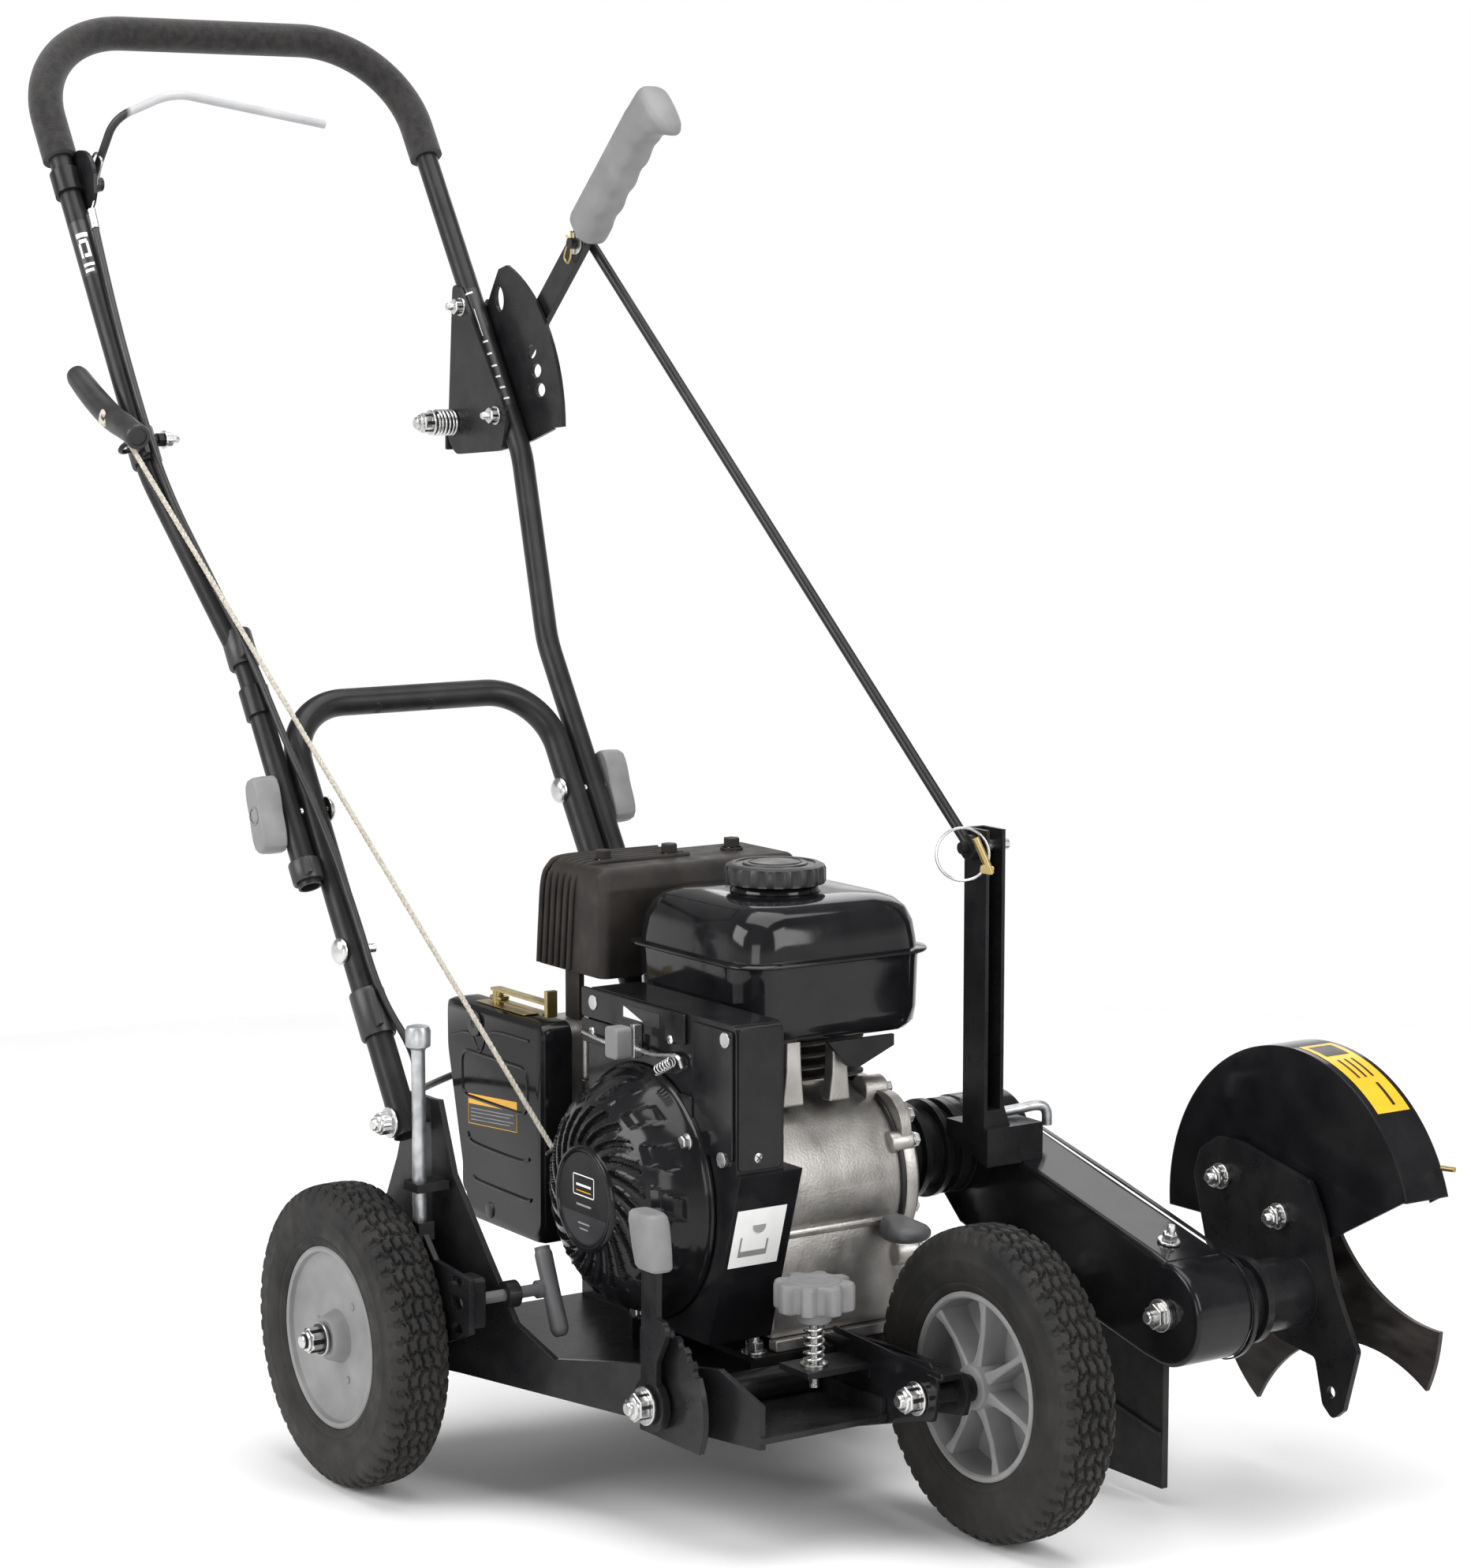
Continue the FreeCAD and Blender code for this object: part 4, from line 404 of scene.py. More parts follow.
# ------------------------------------------------------------------ tyres
WR = 101.6
def tyre(name, node, x, y, body, spin=0.0):
    NA = 432
    prof = []
    # inner bead, side wall with ridges, shoulder, tread band
    side = [(61.2, 15.0), (61.4, 18.0), (64.0, 19.6), (66.0, 20.3), (67.2, 20.0), (68.4, 20.9), (76.0, 21.7), (80.5, 21.9), (82.0, 22.0), (83.2, 21.4), (88.5, 21.2), (90.5, 20.9)]
    tread_half = [(93.4, 20.6), (95.6, 19.8), (97.4, 18.6), (98.8, 17.2), (99.7, 15.6), (100.4, 13.6), (100.9, 11.6), (101.2, 9.6), (101.35, 7.6), (101.45, 5.6), (101.5, 3.6), (101.5, 1.8), (101.5, 0.0)]
    right = side + tread_half
    prof = [(r, -h) for r, h in right] + [(r, h) for r, h in reversed(right[:-1])]
    step = 2 * pi / 54
    def groove(a, h):
        t = abs(h)
        zig = 0.42 * step * (abs(((h / 9.0) % 2) - 1) - 0.5)
        g = 0.0
        # cross grooves, stepping with the zig zag
        ph = ((a + zig * 1.6 + (0.5 * step if int((h + 200) // 7.0) % 2 else 0)) % step) / step
        if t < 19.5 and ph < 0.20:
            g = 1.0
        # wavy lines running round the tyre
        wav = 1.5 * math.sin(a * 27)
        for c0 in (-10.6, -3.6, 3.6, 10.6):
            if abs(h - c0 - wav) < 0.95:
                g = 1.0
        if t > 14.5:
            ph2 = ((a + (0.5 * step if h > 0 else 0)) % step) / step
            g = 1.0 if ph2 < 0.34 else (g if t < 16 else 0.0)
        return g
    nt = len(side)
    total = len(prof)
    def mod(r, h, a, k):
        kk = min(k, total - 1 - k)
        if kk >= nt:
            dep = 2.6 if kk > nt + 2 else 1.8
            return r - dep * groove(a + spin, h) 
        return r
    # finer profile in the tread band
    fine = []
    for i in range(total - 1):
        (r0, h0), (r1, h1) = prof[i], prof[i + 1]
        kk = min(i, total - 2 - i)
        m = 2 if kk >= nt - 1 else 1
        for s in range(m):
            t = s / m
            fine.append((r0 + (r1 - r0) * t, h0 + (h1 - h0) * t, kk >= nt - 1))
    fine.append((*prof[-1], False))
    c, u, v, d = frame_at((x, y, WR), (0, 1, 0))
    V_, F_ = [], []
    n = len(fine)
    for i in range(NA):
        a = 2 * pi * i / NA
        for r, h, tr in fine:
            rr = r
            if tr and r > 92:
                rr = r - (2.5 if abs(h) < 18 else 1.7) * groove(a + spin, h)
            V_.append(tuple(c + (u * math.cos(a) + v * math.sin(a)) * rr + d * h))
    for i in range(NA):
        j = (i + 1) % NA
        for k in range(n):
            l = (k + 1) % n
            F_.append((i * n + k, j * n + k, j * n + l, i * n + l))
    o = obj(name, V_, F_, M_TYRE, body, angle=38)
    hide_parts(node)
    return o
tyre("tyre_rr_tread", "tyre_rear_right", 0, -162, "wheel_rr")
tyre("tyre_rl_tread", "tyre_rear_left", 0, 195, "wheel_rl", 0.03)
tyre("tyre_f_tread", "tyre_front", 332, 123, "wheel_f", 0.05)

# ------------------------------------------------------------------ wheel rims
def rear_rim(name, node, x, y, s, body):
    d = (0, s, 0)
    prof = [(6.1, -19), (13, -19), (14.5, -14), (14.5, 0), (30, 2), (56, 7), (57.5, -16), (61, -17.6), (61, 17.6), (59.6, 18.4), (57.2, 17.6), (56.2, 14.6), (52, 12.2), (44, 10.6), (32, 9.6), (22, 9.4), (18.0, 10.4), (16.6, 14.0), (15.0, 19.2), (13.4, 20.8), (6.1, 20.8)]
    v, f = lathe(prof, (x, y, WR), d, 128)
    o = obj(name, v, f, M_RIM, body, bevel=0.0, angle=32)
    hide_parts(node)
    # moulding nibs
    for k in range(3):
        a = 0.9 + 2 * pi * k / 3
        c = Vector((x + 30 * math.cos(a), y + s * 9.2, WR + 30 * math.sin(a)))
        v, f = lathe([(0.1, 0), (2.6, 0), (2.6, 0.9), (2.1, 1.2), (0.1, 1.2)], c, d, 20)
        obj("%s_nib%d" % (name, k), v, f, M_RIM, body)
rear_rim("rim_rr_disc", "wheel_rim_rear_right", 0, -162, -1, "wheel_rr")
rear_rim("rim_rl_disc", "wheel_rim_rear_left", 0, 195, 1, "wheel_rl")

def spoked_rim(name, node, x, y, s, body):
    d = (0, s, 0)
    ring = [(57.0, -17.4), (61, -17.6), (61, 17.6), (60.0, 18.5), (57.6, 18.5), (56.4, 17.0), (56.0, 4.0), (56.0, -17.0)]
    v, f = lathe(ring, (x, y, WR), d, 128)
    o = obj(name, v, f, M_RIM, body, angle=32)
    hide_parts(node)
    hub = [(6.1, -19), (13.5, -19), (15, 0), (15.5, 14), (14.2, 20.0), (12.8, 20.8), (6.1, 20.8)]
    v, f = lathe(hub, (x, y, WR), d, 64)
    obj(name + "_hub", v, f, M_RIM, body, angle=32)
    web = [(14.2, -6.5), (56.6, -9.0), (56.6, -6.0), (14.2, -3.0)]
    v, f = lathe(web, (x, y, WR), d, 96)
    obj(name + "_web", v, f, M_RIM, body, angle=32)
    c, u, w, dd = frame_at((x, y, WR), d)
    for k in range(7):
        a = 2 * pi * k / 7 + 0.25
        e = u * math.cos(a) + w * math.sin(a)
        t = dd.cross(e).normalized()
        V_, F_ = [], []
        st = [(13.5, 4.6, 17.5), (22, 3.0, 15.6), (36, 2.3, 14.0), (48, 2.4, 14.8), (57.0, 4.4, 16.6)]
        for r, hw, top in st:
            for sg, h in ((-1, -6.5), (-1, top - 1.2), (-0.55, top), (0.55, top), (1, top - 1.2), (1, -6.5)):
                V_.append(tuple(c + e * r + t * hw * sg + dd * h))
        for i in range(len(st) - 1):
            for q in range(6):
                p = (q + 1) % 6
                F_.append((i * 6 + q, i * 6 + p, (i + 1) * 6 + p, (i + 1) * 6 + q))
        F_.append((5, 4, 3, 2, 1, 0)); F_.append(tuple((len(st) - 1) * 6 + q for q in range(6)))
        obj("%s_spoke%d" % (name, k), V_, F_, M_RIM, body, bevel=0.5)
spoked_rim("rim_f_ring", "wheel_rim_front", 332, 123, -1, "wheel_f")

# axle nuts with washers on top of the plain ones
hexbolt("axle_nut_rr", (0, -185.0, WR), (0, -1, 0), 15.4, 8.6, M_ZINC, "curb", washer=11.2, stud=4.6, nyloc=True)
hexbolt("axle_nut_f", (332, 60.2, WR), (0, -1, 0), 15.6, 8.0, M_ZINC, "arm", washer=11.0, stud=4.4, nyloc=True)
hexbolt("pivot_nut", (226, -74.4, 93), (0, -1, 0), 17.0, 7.2, M_ZINC, "arm", washer=12.6, stud=4.6, nyloc=True)

# ------------------------------------------------------------------ stop cable, blended over the fold
CAB = 13.6
cable_pts = [H(-177, 842, 13), H(-182, 780, CAB), H(-183, 715, CAB - 0.6), H(-182, 655, CAB), H(-170, 598, CAB),
             H(-154, 538, CAB), H(-148, 480, CAB + 2), H(-138, 425, CAB + 3), H(-133.5, 370, CAB + 2.4),
             H(-132.5, 318, CAB + 0.6), H(-117.5, 284, 11.5), (-24, -96, 254), (-64, -78, 243), (-104, -52, 236), (-124, -10, 240), (-118, 36, 252), (-80, 62, 262), (-32, 64, 266)]
def nurbs_points(name, pts, res=16):
    cu = bpy.data.curves.new(name, "CURVE"); cu.dimensions = "3D"
    sp = cu.splines.new("NURBS"); sp.points.add(len(pts) - 1)
    for q, p in zip(sp.points, pts):
        q.co = (*p, 1)
    sp.order_u = 3; sp.use_endpoint_u = True; sp.resolution_u = res
    o = bpy.data.objects.new(name, cu)
    me = bpy.data.meshes.new_from_object(o)
    out = [v.co.copy() for v in me.vertices]
    bpy.data.meshes.remove(me); bpy.data.objects.remove(o); bpy.data.curves.remove(cu)
    return out
line = nurbs_points("cable_route", cable_pts)
v, f = tube_mesh(line, 2.5, 14)
cable = obj("stop_cable_sheath", v, f, M_PLAST, None)
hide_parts("stop_cable")
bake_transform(cable)
# ferrules and inner wire at the bail end
v, f = tube_mesh([line[0], line[0] + (line[2] - line[0]).normalized() * 16], 3.3, 16)
obj("cable_ferrule", v, f, M_ZINC, "upper")
top = line[0]
wire("cable_inner_wire", [top, (-352, -170, 862), (-362, -164, 872)], 0.8, M_ZINC, "upper", seg=8, smooth_pts=6)
wire("cable_hook", [(-362, -164, 872), (-356, -163, 884), (-366, -163, 890), (-374, -164, 880), (-368, -164, 868)], 1.1, M_ZINC, "upper", seg=8, smooth_pts=6)

# ------------------------------------------------------------------ starter rope: twisted strands, blended over the fold
RX0, RX1 = Vector((64, -42, 222)), Vector(H(-183, 690)) + Vector((20, -21, 3))
rdir = (RX1 - RX0).normalized(); rlen = (RX1 - RX0).length
_, ru, rv, _ = frame_at(RX0, rdir)
for k in range(3):
    pts = []
    n = 260
    for i in range(n + 1):
        t = i / n
        a = 2 * pi * (t * rlen / 11.0) + 2 * pi * k / 3
        pts.append(RX0 + rdir * rlen * t + (ru * math.cos(a) + rv * math.sin(a)) * 0.85)
    v, f = tube_mesh(pts, 1.12, 7)
    st = obj("rope_strand_%d" % k, v, f, M_ROPE, None)
    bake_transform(st)
    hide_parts("starter_rope")

# starter handle: curved T grip with a hollow ring end
hc = RX1 + rdir * 13.0
hA, hB, hC = hc + Vector((-60, -1.5, 30)), hc + Vector((-4, 0, 1)), hc + Vector((40, -1.5, -11))
pts = catmull([hA, hA * 0.5 + hB * 0.5 + Vector((0, 0, -1.5)), hB, hB * 0.45 + hC * 0.55 + Vector((0, 0, 0.5)), hC], 8)
rad = [7.6 + 1.4 * math.sin(pi * i / (len(pts) - 1)) ** 0.5 if 0 < i < len(pts) - 1 else 7.0 for i in range(len(pts))]
v, f = tube_mesh(pts, 8, 28, radii=rad)
th = obj("starter_handle_grip", v, f, M_PLAST, "rope_handle")
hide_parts("starter_handle")
endd = (hC - hB).normalized()
v, f = lathe([(8.8, -6), (9.0, 0), (8.4, 1.2), (6.2, 1.2), (5.8, 0), (5.8, -5.5)], hC, endd, 40)
obj("starter_handle_ring", v, f, M_PLAST, "rope_handle")
wire("rope_knot", catmull([hc + Vector((2, -4, -2)), hc + Vector((0, -7.6, 3)), hc + Vector((-5, -6.6, 5)), hc + Vector((-3, -8.8, -1)), hc + Vector((3, -8.4, -3)), hc + Vector((1, -6, 3))], 6), 1.9, M_ROPE, "rope_handle")
# inner length of rope that shows when the handle is pulled
v, f = tube_mesh([RX1 - rdir * 60, RX1 - rdir * 25, RX1 + rdir * 10], 1.75, 10)
io = obj("rope_inner_run", v, f, M_ROPE, None)
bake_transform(io)

# ------------------------------------------------------------------ rope guide and clips
gz = H(-183, 690)
wire("rope_guide_loop", [(gz[0] + 8, -192, gz[2] - 4), (gz[0] + 14, -203, gz[2] + 2), (gz[0] + 24, -212, gz[2] + 8), (gz[0] + 33, -206, gz[2] + 3), (gz[0] + 28, -197, gz[2] - 6), (gz[0] + 16, -194, gz[2] - 9), (gz[0] + 6, -193, gz[2] - 6)], 1.5, M_PLAST, "upper", seg=10, smooth_pts=8)
hexbolt("rope_guide_nut", (gz[0], -165.2, gz[2] - 2), (0, 1, 0), 9.4, 5.0, M_ZINC, "upper", washer=6.4, stud=2.6)

def clip(name, y, z0, z1, d, body, ear=(1, 0)):
    a, b = Vector(H(y, z0)), Vector(H(y, z1))
    L_ = (b - a).length
    v, f = lathe([(d / 2 + 0.06, 0.4), (d / 2 + 2.1, 0.0), (d / 2 + 2.6, 1.2), (d / 2 + 2.6, L_ - 1.2), (d / 2 + 2.1, L_), (d / 2 + 0.06, L_ - 0.4)], a, b - a, 48)
    obj(name, v, f, M_PLAST, body, angle=50)
    # squeezed ears with the cable seat
    n = Vector((0.844, 0, 0.536))
    m = (a + b) / 2 + n * (d / 2 + 3.2)
    ax = (b - a).normalized()
    prism(name + "_ear", rrect(7.0, L_ * 0.8, 1.6), m + Vector((0, -6.5, 0)), (0, 1, 0), ax, 4.0, M_PLAST, body, bevel=0.5)
clip("clip_top", -183, 671, 687, 16.4, "upper")
clip("clip_mid", -153.2, 535, 557, 16.4, "upper")
clip("clip_low", -133.5, 298, 326, 19.0, "chassis")
clip("collar_fold_lower", -152, 396, 409, 16.4, "upper")

# ------------------------------------------------------------------ marks on the upper tubes (plain, no lettering)
def tube_patch(name, y, zs, d, a0, a1, mat, body, seg=14, off=0.12, ymid=None):
    """sticker wrapped round part of a tube, between angles a0..a1 (0 = forward normal, 90 = towards -Y)."""
    V_, F_ = [], []
    n = Vector((0.844, 0, 0.536)); s = Vector((0, -1, 0))
    m = len(zs)
    for z in zs:
        c = Vector(H(y, z))
        for k in range(seg + 1):
            a = math.radians(a0 + (a1 - a0) * k / seg)
            V_.append(tuple(c + (n * math.cos(a) + s * math.sin(a)) * (d / 2 + off)))
    for i in range(m - 1):
        for k in range(seg):
            p = i * (seg + 1) + k
            F_.append((p, p + 1, p + seg + 2, p + seg + 1))
    return obj(name, V_, F_, mat, body, angle=0)
tube_patch("mark_stop_base", -183, [800, 812, 824, 838], 16.4, -10, 100, M_LBLACK, "upper", off=0.08)
tube_patch("mark_stop_a", -183, [826, 829], 16.4, 0, 60, M_WHITE, "upper")
tube_patch("mark_stop_b", -183, [806, 808], 16.4, 5, 60, M_WHITE, "upper")
tube_patch("mark_stop_c", -183, [802, 804], 16.4, 15, 60, M_WHITE, "upper")
# curved arrow: a hook made of short arcs
for i, (z0, z1, a0, a1) in enumerate(((822, 824.5, 12, 52), (812, 823, 8, 20), (812, 814.5, 12, 40), (812, 822, 48, 58))):
    tube_patch("mark_stop_arrow%d" % i, -183, [z0, (z0 + z1) / 2, z1], 16.4, a0, a1, M_WHITE, "upper", seg=6)
tube_patch("mark_depth_base", 121, [704, 730, 760, 790], 16.4, -10, 100, M_LBLACK, "upper", off=0.08)
for i, (z, a0, a1) in enumerate(((786, 20, 70), (750, 22, 62), (741, 22, 62), (732, 16, 66), (724, 16, 66), (716, 10, 70), (708, 6, 76))):
    tube_patch("mark_depth%d" % i, 121, [z, z + 1.3], 16.4, a0, a1, M_WHITE, "upper", seg=8)
tube_patch("mark_depth_line", 121, [755, 765, 775], 16.4, 38, 41, M_WHITE, "upper", seg=2)

# ------------------------------------------------------------------ depth lever: finger grip, hairpin, springs
LX, LZ, RXp, RZp = -330.0, 693.0, -190.0, 826.0
LA = math.atan2(RZp - LZ, RXp - LX)
lev_y = 121 + 8.2 + 0.2 + 3 + 2 + 2.5
def OL(r, t=0.0):
    return Vector((LX + r * math.cos(LA) - t * math.sin(LA), lev_y, LZ + r * math.sin(LA) + t * math.cos(LA)))
def finger_grip():
    # stations along the lever: (r, forward half depth, rear half depth, half width)
    st = []
    N_ = 60
    for i in range(N_ + 1):
        t = i / N_
        r = 206 + t * 134
        rear = 16.0 + 0.8 * math.sin(pi * t)
        # finger scallops on the lower (forward) side
        if 0.10 < t < 0.80:
            front = 15.0 - 2.6 * (0.5 + 0.5 * math.cos(2 * pi * (t - 0.10) / 0.175 + pi))
            front += 1.2
        else:
            front = 16.0
        if t > 0.80:
            k = (t - 0.80) / 0.20
            front = 16.0 + 17.0 * (k * k * (3 - 2 * k))
            rear = 16.0 - 2.5 * k
        w = 12.8 - 0.8 * math.sin(pi * t)
        if t < 0.05:
            q = math.sqrt(max(0.0, 1 - (1 - t / 0.05) ** 2)) * 0.18 + 0.82
            front *= q; rear *= q; w *= q
        if t > 0.94:
            q = math.sqrt(max(0.0, 1 - ((t - 0.94) / 0.06) ** 2)) * 0.30 + 0.70
            front = front * q + 2; rear *= q; w *= q
        st.append((r, front, rear, w))
    V_, F_ = [], []
    seg = 32
    e = 2.8
    for r, fr_, re_, w in st:
        for k in range(seg):
            a = 2 * pi * k / seg
            ca, sa = math.cos(a), math.sin(a)
            x = (abs(ca) ** (2 / e)) * (1 if ca > 0 else -1)
            y = (abs(sa) ** (2 / e)) * (1 if sa > 0 else -1)
            off = (re_ if x > 0 else fr_) * x
            p = OL(r, off) + Vector((0, w * y, 0))
            V_.append(tuple(p))
    for i in range(len(st) - 1):
        for k in range(seg):
            l = (k + 1) % seg
            F_.append((i * seg + k, i * seg + l, (i + 1) * seg + l, (i + 1) * seg + k))
    F_.append(tuple(range(seg - 1, -1, -1))); F_.append(tuple((len(st) - 1) * seg + k for k in range(seg)))
    o = obj("depth_finger_grip", V_, F_, M_GREY, "depth_lever_body", angle=50)
    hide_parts("depth_lever_grip")
finger_grip()
# rod pin washer and hairpin
v, f = lathe([(4.1, 0), (8.2, 0), (8.2, 1.4), (4.1, 1.4)], (RXp, lev_y - 2.5 - 1.7, RZp), (0, 1, 0), 40)
obj("rod_pin_washer", v, f, M_ZINC, "depth_lever_body")
hp = [(RXp - 2, lev_y - 6.0, RZp + 9), (RXp - 2, lev_y - 6.0, RZp - 7), (RXp - 6, lev_y - 6.2, RZp - 14), (RXp - 11, lev_y - 6.2, RZp - 10), (RXp - 8, lev_y - 6.2, RZp - 3), (RXp - 4.5, lev_y - 6.2, RZp + 1), (RXp - 8, lev_y - 6.2, RZp + 6)]
wire("rod_hairpin", hp, 0.9, M_YZ, "depth_lever_body", seg=8, smooth_pts=7)
# pivot spring and nuts
helix("lever_pivot_spring", (LX, 84.0 + 9.2, LZ), (LX, 109.2, LZ), 8.9, 1.15, 5.5, M_ZINC, "upper")
hexbolt("lever_pivot_nut", (LX, 91.0, LZ), (0, -1, 0), 13.4, 7.2, M_ZINC, "upper", washer=9.4, stud=4.4, nyloc=True)
for i, z in enumerate((780.0, 700.0)):
    p = H(121, z)
    hexbolt("quadrant_nut%d" % i, (p[0], 109.5, p[2]), (0, -1, 0), 10.6, 5.6, M_ZINC, "upper", washer=7.0, stud=2.8)
# lock peg with its collar behind the quadrant
xs = OL(108)
hexbolt("lock_peg_head", (xs.x, lev_y + 2.5, xs.z), (0, 1, 0), 11, 4.2, M_ZINC, "depth_lever_body", washer=6.5)
hexbolt("lock_peg_nose", (xs.x, lev_y - 2.5 - 1.35, xs.z), (0, 1, 0), 8.0, 1.2, M_ZINC, "depth_lever_body")

# ------------------------------------------------------------------ wing knobs
def wing_knob(name, node, y0, sg, tilt, body):
    V_, F_ = [], []
    seg = 40
    st = [(0.0, 0.93), (1.2, 1.0), (9.0, 1.0), (14.5, 0.97), (17.0, 0.90), (18.0, 0.78)]
    tl = math.radians(tilt)
    for h, q in st:
        for k in range(seg):
            a = 2 * pi * k / seg
            ca, sa = math.cos(a), math.sin(a)
            L_, Wd = 26.5, 10.6
            # waisted outline, wider at the two ends
            r = 1 / ((abs(ca / Wd) ** 3.2 + abs(sa / L_) ** 3.2) ** (1 / 3.2))
            x, z = r * ca, r * sa
            x *= 0.86 + 0.22 * abs(z) / L_
            x *= q; z *= (q * 0.5 + 0.5)
            xx = x * math.cos(tl) + z * math.sin(tl); zz = -x * math.sin(tl) + z * math.cos(tl)
            V_.append((-100 + xx, y0 + sg * h, 440 + zz))
    n = len(st)
    for i in range(n - 1):
        for k in range(seg):
            l = (k + 1) % seg
            F_.append((i * seg + k, i * seg + l, (i + 1) * seg + l, (i + 1) * seg + k))
    F_.append(tuple(range(seg))); F_.append(tuple((n - 1) * seg + k for k in range(seg)))
    o = obj(name, V_, F_, M_GREY, body, bevel=0.9, angle=30)
    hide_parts(node)
    v, f = lathe([(0.1, 18.05), (6.4, 18.05), (6.4, 18.5), (5.0, 18.6), (4.8, 17.2), (0.1, 17.2)], (-100, y0, 440), (0, sg, 0), 32)
    obj(name + "_ring", v, f, M_GREY, body)
wing_knob("wing_knob_r", "wing_knob_right", -160.5, -1, -18, "wing_r")
wing_knob("wing_knob_l", "wing_knob_left", 100.0, 1, -22, "wing_l")

# carriage bolt heads on the legs, with a bright dome
def dome(name, c, d, r, h, mat, body):
    prof = [(0.05, h)] + [(r * math.sin(t * pi / 2 / 8), h * math.cos(t * pi / 2 / 8)) for t in range(1, 9)] + [(r, -0.6), (0.05, -0.6)]
    v, f = lathe(prof, c, d, 40)
    obj(name, v, f, mat, body, angle=60)
p = H(-133.5, 352); dome("leg_bolt_head", (p[0], -143.6, p[2]), (0, -1, 0), 9.2, 5.2, M_ZINC, "chassis")
dome("fold_bolt_head_l", (-100, 62.9, 440), (0, -1, 0), 9.2, 5.0, M_ZINC, "chassis")
dome("fold_bolt_head_r", (-100, -123.5, 440), (0, 1, 0), 9.2, 5.0, M_ZINC, "chassis")
p = H(-133.5, 247); hexbolt("leg_foot_bolt", (p[0], -143.6, p[2]), (0, -1, 0), 13.6, 7.0, M_ZINC, "chassis", washer=10.4, stud=4.0, nyloc=True)
# small punched holes in the lower crossbar, not cut: dark discs paint the shade inside each hole (painted shade)
for i, yy in enumerate((-62, -20)):
    c = Vector(H(yy, 508)); n = Vector((0.844, 0, 0.536)); dn = (n * 0.55 + Vector((0.5, -0.3, -0.9))).normalized()
    v, f = lathe([(0.1, 9.2), (3.4, 9.25), (4.4, 9.0), (4.6, 8.4), (3.2, 8.0), (0.1, 8.0)], c, dn, 28)
    obj("crossbar_hole_painted_shade%d" % i, v, f, M_LBLACK, "chassis")

# ------------------------------------------------------------------ curb rod: galvanised, with a mushroom head
v, f = lathe([(0.1, 166.2), (4.45, 166.2), (4.6, 167), (4.6, 297.5), (5.4, 299.0), (8.2, 300.5), (8.4, 310.8), (7.2, 313.6), (4.2, 314.4), (0.1, 314.5)], (42.4, -133.2, 0), (0, 0, 1), 40)
obj("curb_rod_galvanised", v, f, M_GALV, "curb", angle=40)
# pull pin handle: rounded bar
a, b = Vector((88, -67, 166)), Vector((112, -67, 111))
pts = [a + (b - a) * t for t in (0.0, 0.03, 0.08, 0.5, 0.92, 0.97, 1.0)]
v, f = tube_mesh(pts, 5.6, 24, radii=[3.4, 5.0, 6.0, 5.8, 6.2, 5.2, 3.6])
o = obj("pull_pin_sleeve", v, f, M_DGREY, "pin")

# ------------------------------------------------------------------ height lever grip, star knob, arm spring
st = [(181.5, 11.5, 7.2), (183.5, 13.4, 8.4), (192, 14.4, 8.8), (202, 14.9, 9.0), (211, 15.2, 9.0), (215.5, 14.4, 8.4), (217.5, 12.0, 7.0)]
V_, F_ = [], []
seg = 28
for z, hx, hy in st:
    for k in range(seg):
        a = 2 * pi * k / seg; ca, sa = math.cos(a), math.sin(a)
        x = (abs(ca) ** 0.55) * (1 if ca > 0 else -1); y = (abs(sa) ** 0.55) * (1 if sa > 0 else -1)
        V_.append((226.5 - (z - 200) * 0.20 + hx * x, -70 + hy * y, z))
for i in range(len(st) - 1):
    for k in range(seg):
        l = (k + 1) % seg
        F_.append((i * seg + k, i * seg + l, (i + 1) * seg + l, (i + 1) * seg + k))
F_.append(tuple(range(seg))); F_.append(tuple((len(st) - 1) * seg + k for k in range(seg)))
o = obj("height_lever_knob", V_, F_, M_GREY, "arm", bevel=0.6, angle=35)
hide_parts("height_lever_grip")

